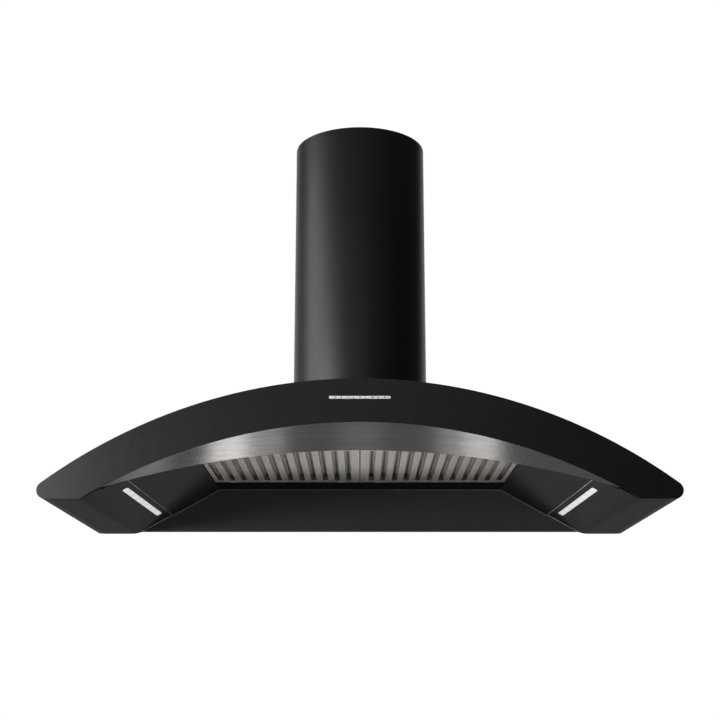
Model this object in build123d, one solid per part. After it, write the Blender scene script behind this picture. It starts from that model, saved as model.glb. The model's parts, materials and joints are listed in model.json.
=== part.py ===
from build123d import *
from math import atan, cos, degrees, radians, sin, sqrt, tan
import os

# Wall-hung range hood with an arched canopy and a round-fronted chimney, in millimetres.
# X runs along the wall, the wall is the plane Y = 0, the front looks to -Y, Z = 0 is the lower rim.

# Clearances and sheet
seam_gap = 0.3
slide_gap = 0.5
run_gap = 0.05
sheet = 1.2

# Canopy: an arched sheet with rounded noses, closed in front by a flat arched plate
hood_width = 1200.0
hood_depth = 550.0
crown_height = 229.0
nose_radius = 16.5
rim_hem = 7.0
fascia_sheet = 2.0
fascia_height = 84.0
fascia_foot = 64.5
fascia_edge = 0.5

# Steel lip: a crescent that leans back from the lower edge of the fascia
lip_end = 38.0
lip_drop = 2.0
lip_lean = 37.0
lip_tuck = 1.5
lip_tip = 1.0

# Hopper: the rim strips fold softly into two slopes that rise to the filters and open a little to the front
rim_width = 83.5
hopper_angle = 29.0
hopper_top = 100.0
fold_radius = 50.0
hopper_flare = 17.0
seam_inset = 76.0
panel_setback = 12.0
notch_inset = 18.0
panel_flange = 26.0
well_wall = 18.0

# Back: a plate on the wall, a splash panel on it and the grease gutter
back_sheet = 1.5
splash_depth = 4.5
splash_foot = 4.0
wall_hole_radius = 4.5
wall_hole_spacing_x = 500.0
wall_hole_spacing_z = 50.0
wall_hole_drop = 74.0
gutter_depth = 91.0
gutter_wall = 12.0

# Baffle filters: two frames with folded lower and upper baffles
filter_gap = 1.6
filter_front = 51.5
filter_height = 16.0
filter_sheet = 1.0
filter_lift = 0.4
frame_front = 14.0
frame_rear = 22.0
baffle_count = 12
baffle_inner_edge = 23.5
baffle_outer_edge = 15.0
baffle_slot = 11.0
baffle_wall = 5.0
upper_baffle_width = 17.0
upper_baffle_drop = 5.0
drain_length = 14.0
drain_width = 9.0
hinge_rod_radius = 3.0
hinge_eye_radius = 5.0
hinge_eye_width = 14.0
hinge_eye_inset = 40.0
hinge_reach = 4.2
rod_end = 3.0
pull_width = 46.0
pull_depth = 10.0
pull_drop = 4.4
pull_sheet = 1.5

# Front rail behind the steel lip, with two spring catches for each filter
rail_height = 30.0
rail_gap = 3.0
catch_gap = 0.7
catch_width = 12.0
catch_radius = 5.0
catch_rise = 5.0
catch_inset = 80.0

# Lamps: opal lens in a slot, clip-on housing and board above it
lamp_inset = 60.0
lamp_length = 370.0
housing_end = 15.0
lamp_width = 12.2
lamp_front = 101.0
lens_proud = 0.6
lens_rim = 4.0
lens_sheet = 1.5
housing_width = 32.0
housing_height = 20.0
board_sheet = 1.6
led_count = 16
led_size = 3.0
led_height = 1.0

# Push buttons and their switch unit
button_count = 5
button_pitch = 23.4
button_gap = 0.8
button_height = 5.4
button_proud = 1.0
button_cap = 7.0
button_travel = 2.0
button_drop = 37.0
button_window_gap = 0.5
stem_width = 6.0
stem_height = 4.0
stem_length = 6.0
guide_gap = 0.15
guide_sheet = 3.0
switch_wall = 2.0
switch_depth = 19.0
switch_size = 6.0

# Chimney: a cover with a round front and straight sides, and an extension nested in it
chimney_radius = 146.0
chimney_axis = 150.0
chimney_top = 860.0
chimney_flange = 16.0
extension_length = 450.0
extension_recess = 2.0
bracket_height = 30.0
bracket_drop = 40.0
bracket_reach = 16.0

# Blower: a sheet box through the canopy that holds the scroll, its impeller and motor
box_half_width = 98.0
box_front = 96.0
box_back = 100.0
box_sink = 79.0
box_rise = 143.0
scroll_half_width = 60.0
scroll_radius = 86.0
scroll_drop = 122.0
scroll_mouth = 76.0
inlet_radius = 52.0
impeller_radius = 70.0
impeller_bore = 56.0
impeller_half_width = 50.0
impeller_ring = 4.0
impeller_disc = 3.0
blade_count = 30
blade_sheet = 1.0
blade_lean = 35.0
hub_radius = 13.0
hub_length = 24.0
shaft_radius = 6.0
motor_radius = 40.0
motor_start = 16.0
motor_end = 84.0
bracket_band = 8.0
bracket_band_sheet = 2.0
bracket_arm = 12.0
arm_count = 3
arm_start = 20.0

# Duct collar and the two flaps of the back-draught damper
collar_radius = 75.0
collar_height = 60.0
collar_flange = 15.0
collar_flange_sheet = 1.5
duct_hole = 72.0
spindle_radius = 2.5
spindle_height = 20.0
flap_sheet = 1.2
flap_gap = 1.0
knuckle_radius = 5.0
knuckle_length = 29.5
knuckle_step = 30.0
stop_rim = 3.3
stop_rim_height = 1.7

# Electrics in the canopy
control_width = 100.0
control_height = 46.0
control_depth = 58.0
control_x = -160.0
control_drop = 71.0
capacitor_radius = 16.0
capacitor_length = 64.0
capacitor_x = 132.0
clip_width = 14.0
clip_sheet = 1.0
gland_radius = 8.0
gland_hex = 11.0
gland_bore = 4.0
gland_height = 12.0
gland_x = 82.0
gland_y = -70.0
cable_radius = 3.0
cable_x = -30.0
cable_run = 45.0
cable_bend = 40.0

# Small screws
screw_head = 3.6
screw_head_height = 2.0
screw_radius = 1.9
screw_hole = 2.1
screw_length = 8.0

# Values that follow from the sizes above
front_y = -hood_depth
fascia_back = front_y + fascia_sheet
panel_front = fascia_back + seam_gap
panel_back = -back_sheet - seam_gap
nose_x = hood_width / 2 - nose_radius
crown_over_nose = crown_height - nose_radius
arch_radius = (nose_x**2 + crown_over_nose**2 - nose_radius**2) / (2 * (crown_height - 2 * nose_radius))
arch_z = crown_height - arch_radius
fascia_low_crest = crown_height - fascia_height
fascia_foot_x = nose_x - fascia_foot
fascia_low_radius = (fascia_foot_x**2 + fascia_low_crest**2) / (2 * fascia_low_crest)
lip_half_span = fascia_foot_x - lip_end
lip_crest = hopper_top - lip_drop
slope = radians(hopper_angle)
flare = atan(hopper_flare / hood_depth)
hopper_foot = nose_x - rim_width
panel_seam = hopper_foot - seam_inset
panel_notch = hopper_foot - notch_inset
lamp_x = hopper_foot - lamp_inset
well_x = hopper_foot - hopper_top / tan(slope)
hem_x = nose_x - rim_hem
ledge_z = hopper_top + sheet
ledge_y = -gutter_depth
filter_low = ledge_z + filter_lift
filter_top = filter_low + filter_height
filter_inner_x = filter_gap / 2
filter_outer_x = well_x - filter_gap
filter_front_y = front_y + filter_front
hinge_y = ledge_y - hinge_eye_radius
hinge_z = filter_low + hinge_eye_radius
filter_rear_y = hinge_y - hinge_reach
slot_span = filter_outer_x - filter_inner_x - baffle_inner_edge - baffle_outer_edge
baffle_pitch = slot_span / (baffle_count - 1)
rail_back = filter_front_y - rail_gap
button_width = button_pitch - button_gap
housing_length = lamp_length + 2 * housing_end
button_level = crown_height - button_drop
control_level = crown_height - control_drop
wall_hole_height = crown_height - wall_hole_drop
box_foot = crown_height - box_sink
box_top = crown_height + box_rise
scroll_level = box_top - scroll_drop
chimney_y = -chimney_axis
cover_inner = chimney_radius - sheet
extension_radius = cover_inner - slide_gap
collar_inner = collar_radius - sheet
flap_z = box_top + spindle_height


def block(x0, x1, y0, y1, z0, z1):
    """A box given by its limits."""
    return Pos((x0 + x1) / 2, (y0 + y1) / 2, (z0 + z1) / 2) * Box(x1 - x0, y1 - y0, z1 - z0)


def along_x(radius, x0, x1, y, z):
    """A round bar along X."""
    return Pos((x0 + x1) / 2, y, z) * Rot(0, 90, 0) * Cylinder(radius, x1 - x0)


def along_z(radius, x, y, z0, z1):
    """A round bar along Z."""
    return Pos(x, y, (z0 + z1) / 2) * Cylinder(radius, z1 - z0)


def other_side(shape):
    """The same piece on the other side of the hood."""
    return mirror(shape, about=Plane.YZ)


def arch_edges(y, inset):
    """Foot, nose, arch, nose and foot of the canopy, drawn inset from its outer skin."""
    reach = arch_radius - nose_radius
    join_radius = arch_radius - inset
    join_x = join_radius * nose_x / reach
    join_z = arch_z + join_radius * (nose_radius - arch_z) / reach
    tip_x = hood_width / 2 - inset
    left_nose = ThreePointArc((-nose_x, y, inset), (-tip_x, y, nose_radius), (-join_x, y, join_z))
    arch = ThreePointArc((-join_x, y, join_z), (0, y, crown_height - inset), (join_x, y, join_z))
    right_nose = ThreePointArc((join_x, y, join_z), (tip_x, y, nose_radius), (nose_x, y, inset))
    return [left_nose, arch, right_nose]


def arch_block(y0, y1, inset):
    """The full arched section of the canopy as a solid between two depths."""
    foot_line = Line((nose_x, y0, inset), (-nose_x, y0, inset))
    return extrude(make_face(arch_edges(y0, inset) + [foot_line]), amount=y1 - y0, dir=(0, 1, 0))


def fascia_low_z(x):
    """Height of the fascia's lower edge."""
    return fascia_low_crest - fascia_low_radius + sqrt(fascia_low_radius**2 - x**2)


def slope_point(x, rise):
    """A point of the right-hand slope: its lower face at X, then up along the slope's normal."""
    return (x + rise * sin(slope), (hopper_foot - x) * tan(slope) + rise * cos(slope))


def flared(shape):
    """Turns a right-hand piece about the slope's foot at the wall, so that the hopper opens to the front."""
    return Pos(hopper_foot, 0, 0) * Rot(0, 0, degrees(flare)) * Pos(-hopper_foot, 0, 0) * shape


def flared_x(x, y):
    """Where a line of the slope that meets the wall at X stands at another depth."""
    return hopper_foot + (x - hopper_foot) / cos(flare) - y * tan(flare)


def xz_solid(points, y0, y1):
    """A straight-sided XZ outline, extruded in depth."""
    outline = Polyline([(x, y0, z) for x, z in points], close=True)
    return extrude(make_face(outline), amount=y1 - y0, dir=(0, 1, 0))


# Canopy shell: one bent sheet with a short hem under each nose and a window for the blower box
def make_canopy_shell():
    shell = arch_block(panel_front, panel_back, 0) - arch_block(front_y, 0, sheet)
    shell -= block(-hem_x, hem_x, front_y, 0, -sheet, 2 * sheet)
    window_x = box_half_width + seam_gap
    window_front = chimney_y - box_front - seam_gap
    window_back = chimney_y + box_back + seam_gap
    return shell - block(-window_x, window_x, window_front, window_back, hopper_top, crown_height + sheet)


# Front fascia: flat arched plate with eased front edges and the button window
def make_front_fascia():
    low_arc = ThreePointArc(
        (fascia_foot_x, front_y, 0), (0, front_y, fascia_low_crest), (-fascia_foot_x, front_y, 0)
    )
    right_foot = Line((nose_x, front_y, 0), (fascia_foot_x, front_y, 0))
    left_foot = Line((-fascia_foot_x, front_y, 0), (-nose_x, front_y, 0))
    outline = make_face(arch_edges(front_y, 0) + [right_foot, low_arc, left_foot])
    plate = extrude(outline, amount=fascia_sheet, dir=(0, 1, 0))
    front_edges = plate.edges().filter_by_position(Axis.Y, front_y - fascia_edge / 2, front_y + fascia_edge / 2)
    plate = fillet(front_edges, fascia_edge)
    half_width = button_half_row() + button_window_gap
    half_height = button_height / 2 + button_window_gap
    low, high = button_level - half_height, button_level + half_height
    return plate - block(-half_width, half_width, front_y - 1, fascia_back + 1, low, high)


# Steel lip: a ruled sheet between the fascia's lower edge and a flatter arc set further back
def lip_face():
    end_z = fascia_low_z(lip_half_span)
    top_arc = ThreePointArc(
        (-lip_half_span, panel_front, end_z + lip_tuck),
        (0, panel_front, fascia_low_crest + lip_tuck),
        (lip_half_span, panel_front, end_z + lip_tuck),
    )
    low_arc = ThreePointArc(
        (-lip_half_span, panel_front, end_z - lip_tip),
        (0, panel_front + lip_lean, lip_crest),
        (lip_half_span, panel_front, end_z - lip_tip),
    )
    return Face.make_surface_from_curves(top_arc, low_arc)


def lip_solid(thickness):
    """The lip's face made thick, to the back for a positive thickness."""
    face = lip_face()
    back_side = 1 if face.normal_at().Y > 0 else -1
    return thicken(face, amount=thickness * back_side)


def make_steel_lip():
    return lip_solid(sheet)


# Light panel: rim strip, soft fold and slope in one sheet, with the lamp slot and a front flange
def make_light_panel():
    bend_reach = fold_radius * tan(slope / 2)
    rim_end = hem_x - seam_gap
    wide_end = rim_end + hopper_flare
    first_y = front_y - hopper_flare
    bend_start = hopper_foot + bend_reach
    low_end = slope_point(hopper_foot - bend_reach * cos(slope), 0)
    high_end = slope_point(hopper_foot - bend_reach * cos(slope), sheet)
    low_seam = slope_point(panel_seam + seam_gap / 2, 0)
    high_seam = slope_point(panel_seam + seam_gap / 2, sheet)

    def at(point):
        return (point[0], first_y, point[1])

    edges = [
        Line(at((wide_end, 0)), at((bend_start, 0))),
        TangentArc(at((bend_start, 0)), at(low_end), tangent=(-1, 0, 0)),
        Line(at(low_end), at(low_seam)),
        Line(at(low_seam), at(high_seam)),
        Line(at(high_seam), at(high_end)),
        TangentArc(at((bend_start, sheet)), at(high_end), tangent=(-1, 0, 0)),
        Line(at((bend_start, sheet)), at((wide_end, sheet))),
        Line(at((wide_end, sheet)), at((wide_end, 0))),
    ]
    panel = flared(extrude(make_face(edges), amount=hopper_flare - first_y, dir=(0, 1, 0)))
    panel &= block(0, rim_end, panel_front, panel_back, -sheet, crown_height)
    flange_front = panel_front + panel_setback
    panel -= block(0, panel_notch, front_y, flange_front, -sheet, crown_height)
    flange_foot = flared_x(hopper_foot, flange_front)
    flange_seam = flared_x(high_seam[0], flange_front)
    flange_points = [
        (flange_foot, sheet / 2),
        (flange_seam, high_seam[1] - sheet / 2),
        (flange_seam, high_seam[1] + panel_flange),
        (flange_foot, panel_flange),
    ]
    panel += xz_solid(flange_points, flange_front, flange_front + sheet)
    return panel - lamp_slot(lamp_length, lamp_width, -sheet, 2 * sheet)


# Inner panel: the upper part of the slope, from the slanting seam to the square edge beside the filters,
# where it is turned up to carry their hinge rod
def make_inner_panel():
    seam_x, seam_z = slope_point(panel_seam - seam_gap / 2, 0)
    wall_x = well_x + sheet
    first_y = panel_front + panel_setback
    seam_line = Line((flared_x(seam_x, first_y), first_y, seam_z), (flared_x(seam_x, panel_back), panel_back, seam_z))
    well_line = Line((well_x, first_y, hopper_top), (well_x, panel_back, hopper_top))
    face = Face.make_surface_from_curves(seam_line, well_line)
    up_side = 1 if face.normal_at().Z > 0 else -1
    panel = thicken(face, amount=sheet * up_side)
    panel += block(well_x, wall_x, first_y, panel_back, hopper_top, hopper_top + well_wall)
    return panel - along_x(hinge_rod_radius + run_gap, well_x - sheet, wall_x + sheet, hinge_y, hinge_z)


# Lamps: everything is drawn on the slope's lower face, at the middle of the lens
def lamp_plane():
    x, z = slope_point(lamp_x, 0)
    middle_y = front_y + lamp_front + lamp_length / 2
    return Plane(origin=(x, middle_y, z), x_dir=(0, 1, 0), z_dir=(sin(slope), 0, cos(slope)))


def lamp_slot(length, width, low, high):
    """A long round-ended block over the lamp, from low to high above the slope's lower face."""
    return flared(extrude(lamp_plane().offset(low) * SlotOverall(length, width), amount=high - low))


def lamp_box(length, width, low, high):
    """A square-ended block over the lamp."""
    return flared(extrude(lamp_plane().offset(low) * Rectangle(length, width), amount=high - low))


def make_lamp_lens():
    lens = lamp_slot(lamp_length - 2 * seam_gap, lamp_width - 2 * seam_gap, -lens_proud, sheet + lens_sheet)
    rim = lamp_slot(lamp_length + 2 * lens_rim, lamp_width + 2 * lens_rim, sheet, sheet + lens_sheet)
    return lens + rim


def make_lamp_housing():
    outer = lamp_box(housing_length, housing_width, sheet, sheet + housing_height)
    return outer - lamp_box(housing_length - 2 * sheet, housing_width - 2 * sheet, 0, housing_height)


def make_led_board():
    top = housing_height
    board = lamp_box(lamp_length, lamp_width, top - board_sheet, top)
    step = lamp_length / led_count
    for index in range(led_count):
        along = (index + 0.5) * step - lamp_length / 2
        spot = lamp_plane().offset(top - board_sheet - led_height) * Pos(along, 0) * Rectangle(led_size, led_size)
        board += flared(extrude(spot, amount=led_height))
    return board


# Back panel: flat plate on the wall with four screw holes
def wall_holes():
    for side in (-1, 1):
        for level in (-1, 1):
            yield side * wall_hole_spacing_x / 2, wall_hole_height + level * wall_hole_spacing_z / 2


def make_back_panel():
    panel = arch_block(-back_sheet, 0, sheet + seam_gap) + block(-hem_x, hem_x, -back_sheet, 0, 0, 2 * sheet)
    open_x = hopper_foot + fold_radius * tan(slope / 2)
    panel -= block(-open_x, open_x, -2 * back_sheet, back_sheet, -sheet, splash_foot)
    for x, z in wall_holes():
        panel -= Pos(x, -back_sheet / 2, z) * Rot(90, 0, 0) * Cylinder(wall_hole_radius, 2 * back_sheet)
    return panel


# Splash panel: shallow tray under the gutter, cut to the two slopes
def make_splash_panel():
    top_z = hopper_top - seam_gap

    def outline(inset):
        low, high = splash_foot + inset, top_z - inset
        side = (seam_gap + inset) / sin(slope)
        low_x = hopper_foot - low / tan(slope) - side
        high_x = hopper_foot - high / tan(slope) - side
        return [(-low_x, low), (low_x, low), (high_x, high), (-high_x, high)]

    front = -back_sheet - splash_depth
    tray = xz_solid(outline(0), front, -back_sheet)
    return tray - xz_solid(outline(sheet), front + sheet, 0)


# Grease gutter: floor behind the filters' hinge rod, with a raised back
def make_rear_gutter():
    reach = well_x - seam_gap
    top = ledge_z + gutter_wall
    floor = block(-reach, reach, ledge_y, -back_sheet, hopper_top, ledge_z)
    back = block(-reach, reach, -back_sheet - sheet, -back_sheet, hopper_top, top)
    return floor + back


# Front rail: a web in front of the filters and a soffit that runs up to the back of the lip
def make_front_rail():
    reach = well_x - seam_gap
    web = block(-reach, reach, rail_back - sheet, rail_back, hopper_top, hopper_top + rail_height)
    soffit = block(-reach, reach, panel_front, rail_back, hopper_top, ledge_z)
    soffit -= lip_solid(sheet + seam_gap)
    soffit -= lip_solid(-2 * lip_lean)
    return web + soffit.solids().sort_by(Axis.Y)[-1]


# Spring catches: rounded leaves on the rail that grip the front wall of each filter
def make_filter_catches():
    nose_y = rail_back + rail_gap - catch_gap
    level = filter_low + catch_rise
    catches = []
    for inner in (catch_inset, filter_outer_x - catch_inset):
        for side in (-1, 1):
            x0, x1 = side * inner - catch_width / 2, side * inner + catch_width / 2
            leaf = along_x(catch_radius, x0, x1, nose_y - catch_radius, level)
            catches.append(leaf & block(x0, x1, rail_back, nose_y, level - catch_radius, level + catch_radius))
    return Compound(children=catches)


# Baffle filter, right-hand one: frame, lower baffles between the slots, upper baffles over them
def slot_centres():
    first = filter_inner_x + baffle_inner_edge
    return [first + index * baffle_pitch for index in range(baffle_count)]


def make_filter_frame():
    x0, x1, y0, y1 = filter_inner_x, filter_outer_x, filter_front_y, filter_rear_y
    centres = slot_centres()
    slot_x0 = centres[0] - baffle_slot / 2
    slot_x1 = centres[-1] + baffle_slot / 2
    slot_y0, slot_y1 = y0 + frame_front, y1 - frame_rear
    frame = block(x0, x1, y0, y1, filter_low, filter_top)
    wall = filter_sheet
    frame -= block(x0 + wall, x1 - wall, y0 + wall, y1 - wall, filter_low + wall, filter_top + wall)
    frame -= block(slot_x0, slot_x1, slot_y0, slot_y1, filter_low - wall, filter_low + 2 * wall)
    half_eye = hinge_eye_width / 2
    for x in (x0 + hinge_eye_inset, x1 - hinge_eye_inset):
        frame += along_x(hinge_eye_radius, x - half_eye, x + half_eye, hinge_y, hinge_z)
    return frame - along_x(hinge_rod_radius + run_gap, x0, x1, hinge_y, hinge_z)


def make_hinge_rod():
    reach = well_x + rod_end
    return along_x(hinge_rod_radius, -reach, reach, hinge_y, hinge_z)


def make_lower_baffles():
    low = filter_low + filter_sheet
    y0 = filter_front_y + filter_sheet
    y1 = filter_rear_y - frame_rear + drain_length
    centres = slot_centres()
    baffles = []
    for left, right in zip(centres, centres[1:]):
        x0, x1 = left + baffle_slot / 2, right - baffle_slot / 2
        strip = block(x0, x1, y0, y1, low, low + filter_sheet + baffle_wall)
        strip -= block(x0 + filter_sheet, x1 - filter_sheet, y0, y1, low + filter_sheet, filter_top)
        baffles.append(strip)
    return Compound(children=baffles)


def make_upper_baffles():
    top = filter_top - filter_sheet - seam_gap
    low = top - filter_sheet - upper_baffle_drop
    y0, y1 = filter_front_y + filter_sheet, filter_rear_y - filter_sheet
    drain_back = filter_rear_y - frame_rear
    baffles = []
    for x in slot_centres():
        half = upper_baffle_width / 2
        strip = block(x - half, x + half, y0, y1, low, top)
        strip -= block(x - half + filter_sheet, x + half - filter_sheet, y0, y1, low, top - filter_sheet)
        hole = drain_width / 2
        strip -= block(x - hole, x + hole, drain_back - drain_length, drain_back, low, top + filter_sheet)
        baffles.append(strip)
    return Compound(children=baffles)


def make_filter_pull():
    middle = (filter_inner_x + filter_outer_x) / 2
    x0, x1 = middle - pull_width / 2, middle + pull_width / 2
    y0 = filter_front_y + (frame_front - pull_depth) / 2
    y1 = y0 + pull_depth
    low = filter_low - pull_drop - pull_sheet
    foot = block(x0, x1, y0, y1, filter_low - pull_sheet, filter_low)
    return foot + block(x0, x1, y0, y0 + pull_sheet, low, filter_low)


# Push buttons: caps in the fascia window, stems guided by the switch housing
def button_half_row():
    return (button_pitch * (button_count - 1) + button_width) / 2


def button_x(index):
    return (index - (button_count - 1) / 2) * button_pitch


def make_button(index):
    x = button_x(index)
    cap_front = front_y - button_proud
    cap_back = cap_front + button_cap
    half_width, half_height = button_width / 2, button_height / 2
    low, high = button_level - half_height, button_level + half_height
    cap = block(x - half_width, x + half_width, cap_front, cap_back, low, high)
    front_edges = cap.edges().filter_by_position(Axis.Y, cap_front - fascia_edge, cap_front + fascia_edge)
    cap = fillet(front_edges, fascia_edge)
    low, high = button_level - stem_height / 2, button_level + stem_height / 2
    return cap + block(x - stem_width / 2, x + stem_width / 2, cap_back, cap_back + stem_length, low, high)


def guide_front():
    return front_y - button_proud + button_cap + button_travel + slide_gap


def make_switch_housing():
    half_width = button_half_row() + button_window_gap
    half_height = button_height / 2 + button_window_gap
    outer_x, outer_z = half_width + switch_wall, half_height + switch_wall
    y0, y1 = fascia_back, fascia_back + switch_depth
    housing = block(-outer_x, outer_x, y0, y1, button_level - outer_z, button_level + outer_z)
    low, high = button_level - half_height, button_level + half_height
    housing -= block(-half_width, half_width, y0, guide_front(), low, high)
    housing -= block(-half_width, half_width, guide_front() + guide_sheet, y1, low, high)
    for index in range(button_count):
        x = button_x(index)
        hole_x, hole_z = stem_width / 2 + guide_gap, stem_height / 2 + guide_gap
        low, high = button_level - hole_z, button_level + hole_z
        housing -= block(x - hole_x, x + hole_x, y0, y1, low, high)
    return housing


def make_switch_board():
    half_width = button_half_row() + button_window_gap
    half_height = button_height / 2 + button_window_gap
    low, high = button_level - half_height, button_level + half_height
    stem_end = front_y - button_proud + button_cap + stem_length + button_travel
    switch_front = stem_end + seam_gap
    board_back = fascia_back + switch_depth
    board_front = board_back - board_sheet
    board = block(-half_width, half_width, board_front, board_back, low, high)
    half_switch = switch_size / 2
    for index in range(button_count):
        x = button_x(index)
        low, high = button_level - half_switch, button_level + half_switch
        board += block(x - half_switch, x + half_switch, switch_front, board_front, low, high)
    return board


# Chimney sheets: round front, straight sides and two flanges along the wall
def u_solid(radius, back_y, z0, z1):
    arc = ThreePointArc((radius, chimney_y, z0), (0, chimney_y - radius, z0), (-radius, chimney_y, z0))
    sides = Polyline((-radius, chimney_y, z0), (-radius, back_y, z0), (radius, back_y, z0), (radius, chimney_y, z0))
    return extrude(make_face([arc] + sides.edges()), amount=z1 - z0, dir=(0, 0, 1))


def u_sheet(radius, back_y, z0, z1):
    inner = radius - sheet
    tube = u_solid(radius, back_y, z0, z1) - u_solid(inner, back_y - sheet, z0, z1)
    mouth = radius - chimney_flange
    return tube - block(-mouth, mouth, back_y - 2 * sheet, back_y + sheet, z0, z1)


def make_chimney_cover():
    cover = u_sheet(chimney_radius, 0, arch_z + sqrt(arch_radius**2 - chimney_radius**2), chimney_top)
    return cover - arch_block(front_y, back_sheet, -seam_gap)


def make_chimney_extension():
    top = chimney_top - extension_recess
    return u_sheet(extension_radius, -sheet - slide_gap, top - extension_length, top)


def make_chimney_bracket():
    inner = extension_radius - sheet - slide_gap
    plate_x = extension_radius - chimney_flange - slide_gap
    high = chimney_top - bracket_drop
    low = high - bracket_height
    bracket = block(-plate_x, plate_x, -back_sheet, 0, low, high)
    for side in (-1, 1):
        legs = sorted((side * plate_x, side * (plate_x - back_sheet)))
        ears = sorted((side * (plate_x - back_sheet), side * inner))
        bracket += block(legs[0], legs[1], -bracket_reach, 0, low, high)
        bracket += block(ears[0], ears[1], -bracket_reach, back_sheet - bracket_reach, low, high)
    return bracket


# Blower box: open below to the filters, its roof carries the collar
def make_blower_box():
    y0, y1 = chimney_y - box_front, chimney_y + box_back
    box = block(-box_half_width, box_half_width, y0, y1, box_foot, box_top)
    inner = box_half_width - sheet
    box -= block(-inner, inner, y0 + sheet, y1 - sheet, box_foot - sheet, box_top - sheet)
    box -= along_z(duct_hole, 0, chimney_y, box_top - 2 * sheet, box_top + sheet)
    box -= along_z(gland_radius + run_gap, gland_x, gland_y, box_top - 2 * sheet, box_top + sheet)
    for x, y in collar_screw_places():
        box -= along_z(screw_hole, x, y, box_top - 2 * sheet, box_top + sheet)
    return box


# Blower scroll: round casing with an inlet on each side and a mouth under the box roof
def make_blower_scroll():
    roof = box_top - sheet

    def section(half_width, wall):
        drum = along_x(scroll_radius - wall, -half_width, half_width, chimney_y, scroll_level)
        y0, y1 = chimney_y - scroll_mouth + wall, chimney_y + scroll_mouth - wall
        return drum + block(-half_width, half_width, y0, y1, scroll_level, roof)

    scroll = section(scroll_half_width, 0) - section(scroll_half_width - sheet, sheet)
    reach = scroll_half_width + sheet
    holes = [along_x(inlet_radius, -reach, reach, chimney_y, scroll_level)]
    holes += [along_x(screw_hole, scroll_half_width - 2 * sheet, reach, y, z) for y, z in arm_screw_places()]
    return scroll - holes


# Impeller: disc, two rings and leaning blades on a hub, turning with the motor shaft
def make_impeller():
    half = impeller_half_width
    y, z = chimney_y, scroll_level
    disc = along_x(impeller_radius, -impeller_disc / 2, impeller_disc / 2, y, z)
    wheel = disc + along_x(hub_radius, -hub_length / 2, hub_length / 2, y, z)
    for x0, x1 in ((-half, -half + impeller_ring), (half - impeller_ring, half)):
        wheel += along_x(impeller_radius, x0, x1, y, z) - along_x(impeller_bore, x0, x1, y, z)
    middle = (impeller_radius + impeller_bore) / 2
    chord = (impeller_radius - impeller_bore) * 0.8
    blade = Box(2 * half - impeller_ring, blade_sheet, chord)
    for index in range(blade_count):
        turn = 360 * index / blade_count
        wheel += Pos(0, y, z) * Rot(turn, 0, 0) * Pos(0, 0, middle) * Rot(blade_lean, 0, 0) * blade
    return wheel - along_x(shaft_radius, -half, half, y, z)


def make_motor_shaft():
    return along_x(shaft_radius - run_gap, -hub_length / 2, motor_end - sheet, chimney_y, scroll_level)


# Motor and its bracket: the motor sits in the right-hand inlet, on arms from the scroll
def make_motor():
    y, z = chimney_y, scroll_level
    body = along_x(motor_radius, motor_start, motor_end, y, z)
    rims = body.edges().filter_by(GeomType.CIRCLE)
    body = fillet(rims, screw_head)
    return body - along_x(shaft_radius, motor_start - sheet, motor_end - sheet, y, z)


def arm_turns():
    return [arm_start + 360 * index / arm_count for index in range(arm_count)]


def arm_screw_places():
    radius = (inlet_radius + scroll_radius) / 2
    return [
        (chimney_y + radius * sin(radians(turn)), scroll_level - radius * cos(radians(turn))) for turn in arm_turns()
    ]


def make_motor_bracket():
    y, z = chimney_y, scroll_level
    x0 = scroll_half_width
    x1 = x0 + bracket_band
    inner = motor_radius + run_gap
    outer = inner + bracket_band_sheet
    band = along_x(outer, x0, x1, y, z) - along_x(inner, x0, x1, y, z)
    reach = (inlet_radius + scroll_radius) / 2 + bracket_arm / 2
    length = reach - inner - bracket_band_sheet / 2
    for turn in arm_turns():
        arm = Pos(bracket_band_sheet / 2, 0, -reach + length / 2) * Box(bracket_band_sheet, bracket_arm, length)
        band += Pos(x0, y, z) * Rot(turn, 0, 0) * arm
    for hole_y, hole_z in arm_screw_places():
        band -= along_x(screw_hole, x0 - sheet, x1, hole_y, hole_z)
    return band


def make_motor_screws():
    seat = scroll_half_width + bracket_band_sheet
    screws = []
    for y, z in arm_screw_places():
        head = along_x(screw_head, seat, seat + screw_head_height, y, z)
        screws.append(head + along_x(screw_radius, seat - screw_length, seat, y, z))
    return Compound(children=screws)


# Duct collar: flanged spigot for a round duct, with a rim under the damper flaps
def collar_screw_places():
    radius = collar_radius + collar_flange / 2
    sides = ((radius, 0), (-radius, 0), (0, radius), (0, -radius))
    return [(x, chimney_y + y) for x, y in sides]


def make_duct_collar():
    y = chimney_y
    top = box_top + collar_height
    collar = along_z(collar_radius, 0, y, box_top, top)
    collar += along_z(collar_radius + collar_flange, 0, y, box_top, box_top + collar_flange_sheet)
    collar -= along_z(collar_inner, 0, y, box_top - sheet, top + sheet)
    rim_top = flap_z - flap_sheet / 2 - slide_gap
    rim = along_z(collar_radius, 0, y, rim_top - stop_rim_height, rim_top)
    collar += rim - along_z(collar_inner - stop_rim, 0, y, rim_top - collar_height, rim_top + sheet)
    collar -= along_x(spindle_radius + run_gap, -collar_radius, collar_radius, y, flap_z)
    for x, hole_y in collar_screw_places():
        collar -= along_z(screw_hole, x, hole_y, box_top - sheet, top)
    return collar


def make_collar_screws():
    seat = box_top + collar_flange_sheet
    screws = []
    for x, y in collar_screw_places():
        head = along_z(screw_head, x, y, seat, seat + screw_head_height)
        screws.append(head + along_z(screw_radius, x, y, seat - screw_length, seat))
    return Compound(children=screws)


def make_damper_spindle():
    return along_x(spindle_radius, -collar_radius, collar_radius, chimney_y, flap_z)


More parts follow.
